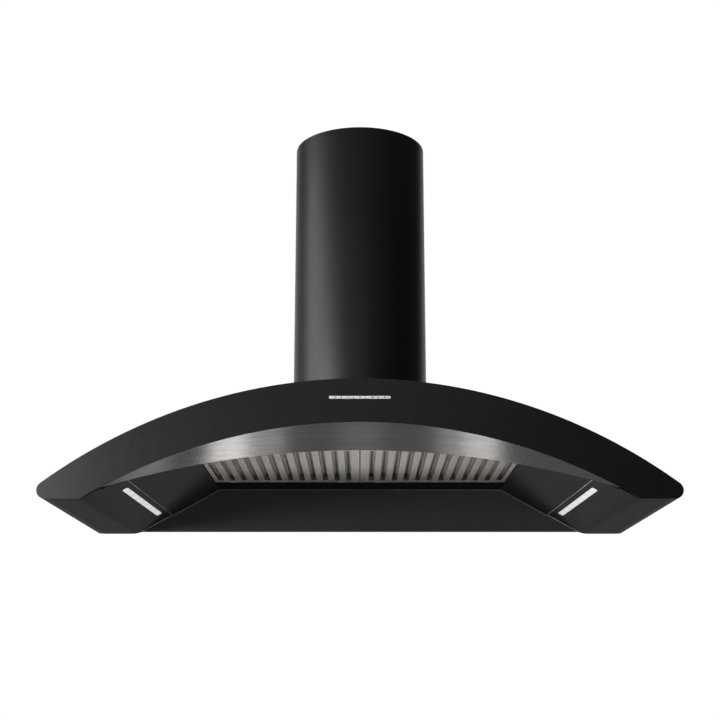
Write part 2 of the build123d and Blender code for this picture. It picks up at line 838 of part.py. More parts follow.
# Damper flap in front of the spindle; the rear one is this one turned round
def make_front_flap():
    y = chimney_y
    radius = collar_inner - flap_gap
    low, high = flap_z - flap_sheet / 2, flap_z + flap_sheet / 2
    plate_edge = knuckle_radius + flap_gap
    plate = along_z(radius, 0, y, low, high) & block(-radius, radius, y - radius, y - plate_edge, low, high)
    flap = plate
    for start in (-2 * knuckle_step, 0):
        x0 = start + (knuckle_step - knuckle_length) / 2
        x1 = x0 + knuckle_length
        flap += along_x(knuckle_radius, x0, x1, y, flap_z)
        flap += block(x0, x1, y - plate_edge - flap_gap, y, low, high)
    reach = 2 * knuckle_step
    return flap - along_x(spindle_radius + run_gap, -reach, reach, y, flap_z)


def make_rear_flap():
    return Pos(0, chimney_y, 0) * Rot(0, 0, 180) * Pos(0, -chimney_y, 0) * make_front_flap()


# Electrics: control box and capacitor on the back panel, cable gland in the box roof
def make_control_box():
    x0, x1 = control_x - control_width / 2, control_x + control_width / 2
    low, high = control_level - control_height / 2, control_level + control_height / 2
    box = block(x0, x1, -back_sheet - control_depth, -back_sheet, low, high)
    return fillet(box.edges().filter_by(Axis.Y), switch_wall)


def make_capacitor():
    x0, x1 = capacitor_x - capacitor_length / 2, capacitor_x + capacitor_length / 2
    body = along_x(capacitor_radius, x0, x1, -back_sheet - clip_sheet - capacitor_radius, control_level)
    return fillet(body.edges().filter_by(GeomType.CIRCLE), switch_wall)


def make_capacitor_clip():
    x0, x1 = capacitor_x - clip_width / 2, capacitor_x + clip_width / 2
    y = -back_sheet - clip_sheet - capacitor_radius
    inner = capacitor_radius + run_gap
    band = along_x(inner + clip_sheet, x0, x1, y, control_level)
    foot_z = capacitor_radius + clip_width
    band += block(x0, x1, -back_sheet - clip_sheet, -back_sheet, control_level - foot_z, control_level + foot_z)
    band -= along_x(inner, x0, x1, y, control_level)
    return band & block(x0, x1, -hood_depth, -back_sheet, 0, crown_height)


def make_cable_gland():
    roof = box_top
    low = roof - sheet - gland_height / 2
    body = along_z(gland_radius, gland_x, gland_y, low, roof + gland_height)
    nut = extrude(Plane((gland_x, gland_y, roof)) * RegularPolygon(gland_hex, 6), amount=gland_height / 2)
    return body + nut - along_z(gland_bore, gland_x, gland_y, low - sheet, roof + gland_height + sheet)


# Cable from the switch board along the canopy to the control box
def make_switch_cable():
    start_y = fascia_back + switch_depth
    bend_y = chimney_y - box_front - cable_run
    end_y = -back_sheet - control_depth
    path = FilletPolyline(
        (cable_x, start_y, button_level),
        (cable_x, start_y + cable_run, button_level),
        (control_x, bend_y, button_level),
        (control_x, end_y - cable_run, control_level),
        (control_x, end_y, control_level),
        radius=cable_bend,
    )
    return sweep(Plane(origin=path @ 0, z_dir=path % 0) * Circle(cable_radius), path=path)


button_names = ["button_power", "button_low", "button_medium", "button_high", "button_light"]

nodes = {
    "canopy_shell": make_canopy_shell(),
    "front_fascia": make_front_fascia(),
    "steel_lip": make_steel_lip(),
    "back_panel": make_back_panel(),
    "splash_panel": make_splash_panel(),
    "rear_gutter": make_rear_gutter(),
    "front_rail": make_front_rail(),
    "filter_catches": make_filter_catches(),
    "filter_hinge_rod": make_hinge_rod(),
    "switch_housing": make_switch_housing(),
    "switch_board": make_switch_board(),
    "chimney_cover": make_chimney_cover(),
    "chimney_extension": make_chimney_extension(),
    "chimney_bracket": make_chimney_bracket(),
    "blower_box": make_blower_box(),
    "blower_scroll": make_blower_scroll(),
    "impeller": make_impeller(),
    "motor_shaft": make_motor_shaft(),
    "motor": make_motor(),
    "motor_bracket": make_motor_bracket(),
    "motor_screws": make_motor_screws(),
    "duct_collar": make_duct_collar(),
    "collar_screws": make_collar_screws(),
    "damper_spindle": make_damper_spindle(),
    "damper_flap_front": make_front_flap(),
    "damper_flap_rear": make_rear_flap(),
    "control_box": make_control_box(),
    "capacitor": make_capacitor(),
    "capacitor_clip": make_capacitor_clip(),
    "cable_gland": make_cable_gland(),
    "switch_cable": make_switch_cable(),
}
for index, name in enumerate(button_names):
    nodes[name] = make_button(index)

paired = {
    "light_panel": make_light_panel(),
    "inner_panel": make_inner_panel(),
    "lamp_lens": make_lamp_lens(),
    "lamp_housing": make_lamp_housing(),
    "led_board": make_led_board(),
    "filter_frame": make_filter_frame(),
    "lower_baffles": make_lower_baffles(),
    "upper_baffles": make_upper_baffles(),
    "filter_pull": make_filter_pull(),
}
for name, shape in paired.items():
    nodes["right_" + name] = shape
    nodes["left_" + name] = other_side(shape)

# Stored frame: the origin moves to the middle of the four wall screws, on the wall
to_wall_screws = Pos(0, 0, -wall_hole_height)

os.makedirs("parts", exist_ok=True)
for name, shape in nodes.items():
    export_step(to_wall_screws * shape, f"parts/{name}.step")
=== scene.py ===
import json
from math import asin, atan2, cos, degrees, pi, radians, sin, sqrt, tan

import bmesh
import bpy
from mathutils import Matrix, Vector

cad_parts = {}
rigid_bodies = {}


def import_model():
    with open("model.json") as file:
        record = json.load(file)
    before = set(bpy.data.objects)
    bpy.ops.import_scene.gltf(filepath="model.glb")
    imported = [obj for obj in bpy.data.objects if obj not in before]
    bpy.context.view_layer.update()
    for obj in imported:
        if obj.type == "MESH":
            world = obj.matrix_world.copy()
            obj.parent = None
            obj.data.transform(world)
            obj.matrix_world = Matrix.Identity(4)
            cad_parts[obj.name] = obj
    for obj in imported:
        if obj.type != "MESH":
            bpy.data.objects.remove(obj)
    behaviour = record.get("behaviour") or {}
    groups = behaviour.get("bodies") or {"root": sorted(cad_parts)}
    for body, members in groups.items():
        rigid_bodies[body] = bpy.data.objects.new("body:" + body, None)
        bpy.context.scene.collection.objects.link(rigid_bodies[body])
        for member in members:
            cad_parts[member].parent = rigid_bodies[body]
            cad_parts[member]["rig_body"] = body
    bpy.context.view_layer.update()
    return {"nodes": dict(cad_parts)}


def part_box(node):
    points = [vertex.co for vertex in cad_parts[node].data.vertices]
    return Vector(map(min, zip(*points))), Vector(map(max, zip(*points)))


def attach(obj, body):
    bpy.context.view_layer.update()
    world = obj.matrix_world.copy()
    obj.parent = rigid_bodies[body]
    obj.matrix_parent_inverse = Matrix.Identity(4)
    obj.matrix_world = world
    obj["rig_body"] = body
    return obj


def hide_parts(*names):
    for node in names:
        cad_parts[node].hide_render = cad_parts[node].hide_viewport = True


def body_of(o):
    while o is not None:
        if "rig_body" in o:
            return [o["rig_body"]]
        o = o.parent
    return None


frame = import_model()

# Back panel
# A flat plate of galvanised sheet, blanked and pierced, that hangs the hood on the wall by four screws.
# Its zinc keeps the spangle that it cooled with, crossed by faint rolling marks.
mm = 0.001
rim_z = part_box("back_panel")[0].z


def add_node(tree, kind, inputs=None, **settings):
    """A new node in a tree; an input is a plain value or another node's output."""
    node = tree.nodes.new(kind)
    for setting, value in settings.items():
        setattr(node, setting, value)
    for socket, value in (inputs or {}).items():
        if isinstance(value, bpy.types.NodeSocket):
            tree.links.new(value, node.inputs[socket])
        else:
            node.inputs[socket].default_value = value
    return node


def new_finish(name, **plain):
    """A finish whose plain shader values are given by socket name, with _ for a space."""
    finish = bpy.data.materials.new(name)
    finish.use_nodes = True
    for socket, value in plain.items():
        finish.node_tree.nodes["Principled BSDF"].inputs[socket.replace("_", " ")].default_value = value
    return finish


def drive(finish, socket, output):
    """Feeds a pattern to one socket of the finish's surface."""
    finish.node_tree.links.new(output, finish.node_tree.nodes["Principled BSDF"].inputs[socket])


def on_piece(finish, stretch=(1, 1, 1)):
    """Places a pattern on the piece itself, stretched along its axes."""
    tree = finish.node_tree
    coordinates = add_node(tree, "ShaderNodeTexCoord")
    mapping = add_node(tree, "ShaderNodeMapping", {"Vector": coordinates.outputs["Object"], "Scale": stretch})
    return mapping.outputs["Vector"]


def mottle(finish, scale, stretch=(1, 1, 1), detail=3.0):
    """A cloudy pattern; scale is in clouds per metre."""
    inputs = {"Vector": on_piece(finish, stretch), "Scale": scale, "Detail": detail}
    return add_node(finish.node_tree, "ShaderNodeTexNoise", inputs).outputs[0]


def spangle(finish, scale):
    """Flat crystals, each with a level of its own."""
    inputs = {"Vector": on_piece(finish), "Scale": scale}
    cells = add_node(finish.node_tree, "ShaderNodeTexVoronoi", inputs)
    return add_node(finish.node_tree, "ShaderNodeSeparateColor", {"Color": cells.outputs["Color"]}).outputs[0]


def levels(finish, pattern, low, high):
    """Spreads a pattern over a range of values."""
    inputs = {"Value": pattern, "From Min": 0.25, "From Max": 0.75, "To Min": low, "To Max": high}
    return add_node(finish.node_tree, "ShaderNodeMapRange", inputs).outputs["Result"]


def tones(finish, pattern, dark, light):
    """Spreads a pattern between two colours."""
    ramp = add_node(finish.node_tree, "ShaderNodeValToRGB", {"Fac": pattern})
    for element, place, tone in zip(ramp.color_ramp.elements, (0.25, 0.75), (dark, light)):
        element.position = place
        element.color = (*tone, 1)
    return ramp.outputs["Color"]


def relief(finish, pattern, height, under=None):
    """A bump of that height in metres, on top of another one where given."""
    inputs = {"Height": pattern, "Distance": height}
    if under:
        inputs["Normal"] = under
    return add_node(finish.node_tree, "ShaderNodeBump", inputs).outputs["Normal"]


def surface(finish, shades, gloss, bump):
    """Gives a finish its colour, roughness and bump; each is a pattern with its range or its height."""
    drive(finish, "Base Color", tones(finish, *shades))
    drive(finish, "Roughness", levels(finish, *gloss))
    drive(finish, "Normal", relief(finish, *bump))


galvanised = new_finish("galvanised_sheet", Metallic=1.0)
zinc_crystals = spangle(galvanised, 130)
zinc_streaks = mottle(galvanised, 14, (1, 1, 9))
surface(
    galvanised,
    (zinc_crystals, (0.46, 0.47, 0.48), (0.56, 0.57, 0.58)),
    (zinc_streaks, 0.34, 0.52),
    (zinc_crystals, 0.00003),
)


def paint_nodes(finish, *names):
    """Gives CAD nodes whose shape is right their finish."""
    for name in names:
        for slot in frame["nodes"][name].material_slots:
            slot.material = finish


paint_nodes(galvanised, "back_panel", "chimney_bracket")

# Canopy shell
# One sheet of steel bent to the arch, with a rounded nose and a short hem at each end and a window for the
# blower. It is powder coated in satin black, so it has a fine orange peel.
sheet = 1.2
sheet_edge = 0.25
fascia_sheet = 2.0
back_sheet = 1.5
gap = 0.3
half_width = 600.0
depth = 550.0
crown = 229.0
nose_radius = 16.5
nose_x = half_width - nose_radius
nose_points = 20
hem_length = 7.0
arch_radius = (nose_x**2 + (crown - nose_radius) ** 2 - nose_radius**2) / (2 * (crown - 2 * nose_radius))
arch_z = crown - arch_radius
arch_steps = 120
blower_half_width = 98.0
blower_front = -246.0
blower_back = -50.0
window_foot = 120.0
window_head = crown + 20.0
panel_front = -depth + fascia_sheet + gap
panel_back = -back_sheet - gap


def at(x, y, z):
    """A point given in millimetres from the middle of the rim at the wall."""
    return Vector((x * mm, y * mm, rim_z + z * mm))


def black_coat(name, dark, light, smooth, coarse, gleam=0.5):
    """Satin black powder coat: a slow drift of tone, uneven gloss and a fine orange peel."""
    coat = new_finish(name, Specular_IOR_Level=gleam)
    drive(coat, "Base Color", tones(coat, mottle(coat, 5), (dark,) * 3, (light,) * 3))
    drive(coat, "Roughness", levels(coat, mottle(coat, 60), smooth, coarse))
    wave = relief(coat, mottle(coat, 260, detail=1.0), 0.000003)
    drive(coat, "Normal", relief(coat, mottle(coat, 1400, detail=1.0), 0.000001, wave))
    return coat


satin_black = black_coat("satin_black_coat", 0.006, 0.009, 0.40, 0.47)


def new_tree(name, **inputs):
    """An empty node tree and its inputs, listed by the kind of socket, with a finish besides."""
    tree = bpy.data.node_groups.new(name, "GeometryNodeTree")
    tree.interface.new_socket("Geometry", in_out="OUTPUT", socket_type="NodeSocketGeometry")
    for kind, labels in {**inputs, "Material": ("Finish",)}.items():
        for label in labels:
            tree.interface.new_socket(label, in_out="INPUT", socket_type="NodeSocket" + kind)
    return tree, add_node(tree, "NodeGroupInput").outputs


def end_tree(tree, geometry, finish):
    """Realizes what the tree made and gives it its finish."""
    realized = add_node(tree, "GeometryNodeRealizeInstances", {"Geometry": geometry})
    painted = add_node(tree, "GeometryNodeSetMaterial", {"Geometry": realized.outputs[0], "Material": finish})
    add_node(tree, "NodeGroupOutput", {"Geometry": painted.outputs[0]})


def new_piece(name, data=None):
    """A new object at the origin."""
    piece = bpy.data.objects.new(name, data or bpy.data.meshes.new(name))
    bpy.context.scene.collection.objects.link(piece)
    return piece


def grown(name, tree, **sizes):
    """A piece made by a node tree from its sizes."""
    piece = new_piece(name)
    modifier = piece.modifiers.new("sizes", "NODES")
    modifier.node_group = tree
    for item in tree.interface.items_tree:
        if item.in_out == "INPUT" and item.name.replace(" ", "_") in sizes:
            modifier[item.identifier] = sizes[item.name.replace(" ", "_")]
    return piece


def settle(piece):
    """Turns what the modifiers give into the piece's plain mesh."""
    evaluated = piece.evaluated_get(bpy.context.evaluated_depsgraph_get())
    piece.modifiers.clear()
    piece.data = bpy.data.meshes.new_from_object(evaluated)


def face_away(piece, inside):
    """Turns an open sheet so that its faces agree and look away from a point."""
    form = bmesh.new()
    form.from_mesh(piece.data)
    bmesh.ops.recalc_face_normals(form, faces=form.faces)
    form.to_mesh(piece.data)
    form.free()
    outward = sum(face.area * face.normal.dot(face.center - inside) for face in piece.data.polygons)
    if outward < 0:
        piece.data.flip_normals()


def thicken(piece, thickness, offset=-1.0):
    """Gives a sheet its thickness, behind its faces unless told otherwise."""
    wall = piece.modifiers.new("sheet", "SOLIDIFY")
    wall.thickness = thickness * mm
    wall.offset = offset
    wall.use_even_offset = True


def ease(piece, edge, crease=35):
    """Rounds the sharp edges a little and shades the rest smoothly."""
    if edge:
        rounding = piece.modifiers.new("edge", "BEVEL")
        rounding.width = edge * mm
        rounding.segments = 2
        rounding.limit_method = "ANGLE"
        rounding.angle_limit = radians(crease)
        rounding.use_clamp_overlap = True
    settle(piece)
    piece.data.shade_smooth()
    piece.data.set_sharp_from_angle(angle=radians(crease + 10))
    piece.modifiers.new("flats", "WEIGHTED_NORMAL").keep_sharp = True
    settle(piece)


def hand_over(piece, body, slot, finish=None, *nodes):
    """Lets a finished piece ride on its body and stand for its CAD nodes."""
    if finish:
        piece.data.materials.clear()
        piece.data.materials.append(finish)
    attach(piece, body)
    if nodes:
        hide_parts(*nodes)


def vector_of(tree, x=0.0, y=0.0, z=0.0):
    """A vector from numbers or number sockets."""
    return add_node(tree, "ShaderNodeCombineXYZ", {0: x, 1: y, 2: z}).outputs[0]


def chain(tree, corners):
    """Straight lines from each corner to the next."""
    return [
        add_node(tree, "GeometryNodeCurvePrimitiveLine", {"Start": start, "End": end})
        for start, end in zip(corners, corners[1:])
    ]


def welded(tree, lines):
    """One run of edges along lines that meet end to end."""
    joined = add_node(tree, "GeometryNodeJoinGeometry")
    for line in lines:
        tree.links.new(line.outputs["Curve"], joined.inputs[0])
    edges = add_node(tree, "GeometryNodeCurveToMesh", {"Curve": joined.outputs[0]})
    weld = {"Geometry": edges.outputs[0], "Distance": 0.00001}
    return add_node(tree, "GeometryNodeMergeByDistance", weld).outputs[0]


arch_marks = ("Left Foot", "Left Tip", "Left Shoulder", "Crown", "Right Shoulder", "Right Tip", "Right Foot")
arch_tree, arch_in = new_tree("arched_sheet", Vector=(*arch_marks, "Hem"), Float=("Depth",))
arch_lines = []
for first, count in ((0, nose_points), (2, arch_steps + 1), (4, nose_points)):
    start, middle, end = (arch_in[mark] for mark in arch_marks[first : first + 3])
    through = {"Start": start, "Middle": middle, "End": end, "Resolution": count}
    arch_lines.append(add_node(arch_tree, "GeometryNodeCurveArc", through, mode="POINTS"))
for foot, direction in (("Left Foot", 1.0), ("Right Foot", -1.0)):
    turn = {0: arch_in["Hem"], 1: (direction, 1.0, 1.0)}
    run = add_node(arch_tree, "ShaderNodeVectorMath", turn, operation="MULTIPLY")
    end = add_node(arch_tree, "ShaderNodeVectorMath", {0: arch_in[foot], 1: run.outputs[0]}, operation="ADD")
    arch_lines += chain(arch_tree, [arch_in[foot], end.outputs[0]])
arch_edges = welded(arch_tree, arch_lines)
arch_pull = {"Mesh": arch_edges, "Offset": vector_of(arch_tree, y=1.0), "Offset Scale": arch_in["Depth"]}
arch_skin = add_node(arch_tree, "GeometryNodeExtrudeMesh", arch_pull, mode="EDGES")
end_tree(arch_tree, arch_skin.outputs["Mesh"], arch_in["Finish"])

shoulder_x = arch_radius * nose_x / (arch_radius - nose_radius)
shoulder_z = arch_z + sqrt(arch_radius**2 - shoulder_x**2)
canopy_marks = {"Crown": at(0, panel_front, crown)}
for side, sign in (("Left_", -1), ("Right_", 1)):
    canopy_marks[side + "Foot"] = at(sign * nose_x, panel_front, 0)
    canopy_marks[side + "Tip"] = at(sign * half_width, panel_front, nose_radius)
    canopy_marks[side + "Shoulder"] = at(sign * shoulder_x, panel_front, shoulder_z)
canopy = grown(
    "canopy_shell_coated",
    arch_tree,
    Hem=(hem_length * mm, 0.0, 0.0),
    Depth=(panel_back - panel_front) * mm,
    Finish=satin_black,
    **canopy_marks,
)
settle(canopy)
under_arch = at(0, -depth / 2, 60)
face_away(canopy, under_arch)


def piece_of(form, name):
    """A piece whose mesh is an edited form."""
    mesh = bpy.data.meshes.new(name)
    form.to_mesh(mesh)
    form.free()
    return new_piece(name, mesh)


def block(name, low, high):
    """A closed block between two corners."""
    form = bmesh.new()
    bmesh.ops.create_cube(form, size=1.0)
    size, middle = high - low, (high + low) / 2
    for vertex in form.verts:
        vertex.co = Vector(vertex.co[axis] * size[axis] + middle[axis] for axis in range(3))
    return piece_of(form, name)


thicken(canopy, sheet)
settle(canopy)
window_low = at(-blower_half_width - gap, blower_front - gap, window_foot)
window_high = at(blower_half_width + gap, blower_back + gap, window_head)
window = block("blower_window", window_low, window_high)
window_cut = canopy.modifiers.new("window", "BOOLEAN")
window_cut.object = window
window_cut.operation = "DIFFERENCE"
settle(canopy)
bpy.data.objects.remove(window)
ease(canopy, sheet_edge)
hand_over(canopy, "hood", "black_enamel", satin_black, "canopy_shell")

# Front fascia
# A flat arched plate of 2 mm steel in the same satin black, laser cut with eased edges and a window for the
# buttons. It is screwed from behind and closes the front of the arch.
fascia_edge = 0.4
fascia_crest = 145.0
fascia_foot = 519.0
fascia_radius = (fascia_foot**2 + fascia_crest**2) / (2 * fascia_crest)
fascia_z = fascia_crest - fascia_radius
nose_steps = 16
button_level = 192.0
button_pitch = 23.4
button_width = 22.6
button_height = 5.4
button_gap = 0.5
button_names = ["power", "low", "medium", "high", "light"]
button_middle = (len(button_names) - 1) / 2
window_x = button_middle * button_pitch + button_width / 2 + button_gap
window_z = button_height / 2 + button_gap
touching = 0.000002


def arc_points(middle_x, middle_z, radius, start, end, steps):
    """Points of a round stretch, from one angle to another in degrees."""
    turns = [radians(start + (end - start) * step / steps) for step in range(steps + 1)]
    return [(middle_x + radius * cos(turn), middle_z + radius * sin(turn)) for turn in turns]


def drawn(name, lines, closed, **settings):
    """The mesh of a drawing along lines, whose points are in metres."""
    drawing = bpy.data.curves.new(name, "CURVE")
    drawing.bevel_resolution = 2
    for setting, value in settings.items():
        setattr(drawing, setting, value)
    for points in lines:
        line = drawing.splines.new("POLY")
        line.points.add(len(points) - 1)
        for point, place in zip(line.points, points):
            point.co = (*place, 1)
        line.use_cyclic_u = closed
    holder = new_piece(name, drawing)
    mesh = bpy.data.meshes.new_from_object(holder.evaluated_get(bpy.context.evaluated_depsgraph_get()))
    bpy.data.objects.remove(holder)
    return mesh


def plate(name, outlines, thickness, edge, place):
    """A flat plate with holes and rounded edges, drawn in millimetres and then put in its place."""
    lines = [[(x * mm, y * mm, 0) for x, y in outline] for outline in outlines]
    straight = (thickness / 2 - edge) * mm
    rounding = {"extrude": straight, "bevel_depth": edge * mm, "offset": -edge * mm}
    form = bmesh.new()
    form.from_mesh(drawn(name, lines, True, dimensions="2D", fill_mode="BOTH", **rounding))
    bmesh.ops.remove_doubles(form, verts=form.verts, dist=touching)
    bmesh.ops.recalc_face_normals(form, faces=form.faces)
    bmesh.ops.transform(form, matrix=place, verts=form.verts)
    return piece_of(form, name)


def standing(y):
    """Puts a drawing upright, its face to the front, at that depth."""
    turned = Matrix(((1, 0, 0, 0), (0, 0, -1, 0), (0, 1, 0, 0), (0, 0, 0, 1)))
    return Matrix.Translation(at(0, y, 0)) @ turned


arch_swing = 90 - degrees(atan2(shoulder_z - arch_z, shoulder_x))
low_swing = degrees(asin(fascia_foot / fascia_radius))
fascia_outline = arc_points(nose_x, nose_radius, nose_radius, -90, 90 - arch_swing, nose_steps)
fascia_outline += arc_points(0, arch_z, arch_radius, 90 - arch_swing, 90 + arch_swing, arch_steps)[1:]
fascia_outline += arc_points(-nose_x, nose_radius, nose_radius, 90 + arch_swing, 270, nose_steps)[1:]
fascia_outline += arc_points(0, fascia_z, fascia_radius, 90 + low_swing, 90 - low_swing, arch_steps)
button_window = [
    (-window_x, button_level - window_z),
    (window_x, button_level - window_z),
    (window_x, button_level + window_z),
    (-window_x, button_level + window_z),
]
fascia_lines = [fascia_outline, button_window]
fascia_place = standing(-depth + fascia_sheet / 2)
fascia = plate("front_fascia_coated", fascia_lines, fascia_sheet, fascia_edge, fascia_place)
ease(fascia, 0)
hand_over(fascia, "hood", "black_enamel", satin_black, "front_fascia")

# Steel lip
# A crescent of stainless sheet, brushed along its length, that leans back from the fascia to the filters.
# It is clipped behind the fascia and left bare, so it mirrors what lies below it in long soft streaks.
lip_half_span = 481.0
lip_tuck = 1.5
lip_tip = 1.0
lip_lean = 37.0
lip_crest = 98.0
lip_steps = 240
lip_rows = 8
lip_end_z = fascia_z + sqrt(fascia_radius**2 - lip_half_span**2)
lip_drop = lip_crest - lip_end_z + lip_tip
lip_slant = sqrt(lip_lean**2 + lip_drop**2)


def three_point_arc(rise, half_span, share):
    """Sideways and upward place on an arc over a chord, for a share from -1 to 1 of its swing."""
    radius = (half_span**2 + rise**2) / (2 * rise)
    turn = share * asin(half_span / radius)
    return radius * sin(turn), rise - radius + radius * cos(turn)


def lip_point(share, across):
    """A point of the lip: share runs along it and across from its top edge to its low edge."""
    top_x, top_rise = three_point_arc(fascia_crest - lip_end_z, lip_half_span, share)
    low_x, low_rise = three_point_arc(lip_slant, lip_half_span, share)
    lean = low_rise / lip_slant
    top = Vector((top_x, panel_front, lip_end_z + lip_tuck + top_rise))
    low = Vector((low_x, panel_front + lip_lean * lean, lip_end_z - lip_tip + lip_drop * lean))
    return at(*top.lerp(low, across))


def sheet_of(name, point, steps, rows):
    """A smooth open sheet through points on a grid, with its length and width as UV."""
    form = bmesh.new()
    uv = form.loops.layers.uv.new("along")
    grid = [
        [form.verts.new(point(2 * step / steps - 1, row / rows)) for row in range(rows + 1)]
        for step in range(steps + 1)
    ]
    for step in range(steps):
        for row in range(rows):
            corners = ((step, row), (step + 1, row), (step + 1, row + 1), (step, row + 1))
            face = form.faces.new([grid[i][j] for i, j in corners])
            for loop, (i, j) in zip(face.loops, corners):
                loop[uv].uv = (i / steps, j / rows)
    return piece_of(form, name)


brushed = new_finish("brushed_stainless", Metallic=1.0, Anisotropic=1.0, Anisotropic_Rotation=0.25)
brush_fine = mottle(brushed, 30, (0.25, 60, 60), 4.0)
brush_long = mottle(brushed, 12, (0.15, 12, 12), 2.0)
surface(
    brushed,
    (brush_long, (0.50, 0.49, 0.48), (0.60, 0.59, 0.58)),
    (brush_fine, 0.15, 0.20),
    (brush_fine, 0.000006),
)
brush_way = add_node(brushed.node_tree, "ShaderNodeTangent", direction_type="UV_MAP", uv_map="along")
drive(brushed, "Tangent", brush_way.outputs["Tangent"])

lip = sheet_of("steel_lip_brushed", lip_point, lip_steps, lip_rows)
above_lip = at(0, -400, 250)
face_away(lip, above_lip)
thicken(lip, sheet)
ease(lip, sheet_edge)
hand_over(lip, "hood", "brushed_steel", brushed, "steel_lip")

# Hopper: light panels, inner panels, splash panel, gutter and front rail
# Folded sheets in the same black, a little flatter in gloss, that lead the smoke up to the filters, except
# that the splash panel's black is painted lighter as painted light, and the gutter's and front rail's darker
# as painted shade.
# Their cut edges are rounded over by the coat, and along the seams and the splash panel's top edge a light
# grey bead paints the edge's highlight.
rim_width = 83.5
light_width = 76.0
hopper_foot = nose_x - rim_width
seam_foot = hopper_foot - light_width
slope = radians(29.0)
flare_run = 17.0
flare = atan2(flare_run, depth)
splash_front = -6.0
splash_crest = 99.7
fold_edge = 0.3
edge_highlight_radius = 0.8
splash_highlight_radius = 0.42
soft_black = black_coat("soft_black_coat", 0.009, 0.013, 0.47, 0.50, 0.21)
# A copy of the black coat, several times lighter, for the splash panel: painted light.
splash_painted_light = black_coat("splash_black_coat", 0.042, 0.054, 0.47, 0.50)
# A darker, duller copy of the black coat for the gutter and front rail: painted shade.
gutter_painted_shade = black_coat("gutter_black_coat", 0.005, 0.008, 0.60, 0.66, 0.05)


def eased_copy(node, finish, slot, edge=fold_edge):
    """A welded copy of a CAD node with its edges eased and its round faces smooth, standing for that node."""
    form = bmesh.new()
    form.from_mesh(frame["nodes"][node].data)
    bmesh.ops.remove_doubles(form, verts=form.verts, dist=touching)
    bmesh.ops.dissolve_limit(form, angle_limit=radians(0.4), verts=form.verts, edges=form.edges)
    piece = piece_of(form, node + "_eased")
    ease(piece, edge)
    hand_over(piece, body_of(frame["nodes"][node])[0], slot, finish, node)


eased_copy("splash_panel", splash_painted_light, "black_inner")
for name in ("rear_gutter", "front_rail"):
    eased_copy(name, gutter_painted_shade, "black_inner")

# A light grey, half metallic coat for the edge beads: a painted highlight.
edge_highlight_paint = new_finish("rubbed_black_coat", Metallic=0.3)
edge_highlight_mottle = mottle(edge_highlight_paint, 90, detail=4.0)
surface(
    edge_highlight_paint,
    (edge_highlight_mottle, (0.42,) * 3, (0.56,) * 3),
    (edge_highlight_mottle, 0.35, 0.50),
    (mottle(edge_highlight_paint, 700), 0.00001),
)


def on_hopper(side, x, y):
    """A point of a slope's lower face, on the line that meets the wall at X."""
    out = hopper_foot + (x - hopper_foot) / cos(flare) - y * tan(flare)
    return at(side * out, y, (hopper_foot - x) * tan(slope))


def painted_highlight_bead(name, points, radius):
    """Lays a rounded bead along the edge of a sheet, in straight runs; its light grey is a painted highlight.
    """
    run = drawn(name, [points], False, dimensions="3D", bevel_depth=radius * mm, use_fill_caps=True)
    edge = new_piece(name, run)
    edge.data.shade_smooth()
    hand_over(edge, "hood", "black_inner", edge_highlight_paint)


sides = (("left", -1), ("right", 1))
seam_front = -depth + 16.0
seam_back = splash_front - edge_highlight_radius
seam_end_level = 5.0
seam_end = hopper_foot - seam_end_level / tan(slope)
for side, sign in sides:
    eased_copy(side + "_light_panel", soft_black, "black_inner")
    eased_copy(side + "_inner_panel", soft_black, "black_inner")
    seam_turns = ((seam_foot, seam_front), (seam_foot, seam_back), (seam_end, seam_back))
    seam_run = [on_hopper(sign, x, y) for x, y in seam_turns]
    painted_highlight_bead(side + "_seam_edge", seam_run, edge_highlight_radius)
splash_low = 41.0
splash_low_x = seam_foot - 2.0
splash_top = splash_crest - 0.5
splash_top_x = hopper_foot - splash_crest / tan(slope) - edge_highlight_radius
splash_run = [
    at(-splash_low_x, splash_front, splash_low),
    at(-splash_top_x, splash_front, splash_top),
    at(splash_top_x, splash_front, splash_top),
    at(splash_low_x, splash_front, splash_low),
]
painted_highlight_bead("splash_edge", splash_run, splash_highlight_radius)

# Lamps
# An opal strip lens with a rim, pushed down into the slot of each light panel, under an aluminium housing.
# The lens is moulded acrylic, lit from behind by a row of diodes on a board, so it glows a little unevenly.
lamp_x = 440.0
lamp_length = 370.0
lamp_width = 12.2
lamp_front = -depth + 101.0
lamp_middle_y = lamp_front + lamp_length / 2
lens_proud = 0.6
lens_rim = 4.0
lens_sheet = 1.5
lens_gap = 0.3
lens_height = lens_proud + sheet + lens_sheet
lens_edge = 0.5
lens_rim_edge = 0.2
end_steps = 12
glow_count = 8

opal = new_finish("opal_acrylic", Base_Color=(0.55, 0.55, 0.54, 1), Roughness=0.25, Emission_Strength=0.50)
glow_scale = glow_count / (lamp_length * mm) * pi / 10
glow = {"Vector": on_piece(opal), "Scale": glow_scale, "Distortion": 0.0}
glow_spots = add_node(opal.node_tree, "ShaderNodeTexWave", glow, bands_direction="Y")
drive(opal, "Emission Color", tones(opal, glow_spots.outputs[0], (0.86, 0.86, 0.85), (1.0, 1.0, 0.99)))
drive(opal, "Normal", relief(opal, mottle(opal, 900), 0.000004))

rolled_aluminium = new_finish("rolled_aluminium", Metallic=1.0)
rolled = mottle(rolled_aluminium, 40, (1, 0.1, 8))
surface(
    rolled_aluminium,
    (rolled, (0.62, 0.63, 0.64), (0.74, 0.75, 0.76)),
    (rolled, 0.30, 0.45),
    (rolled, 0.00001),
)

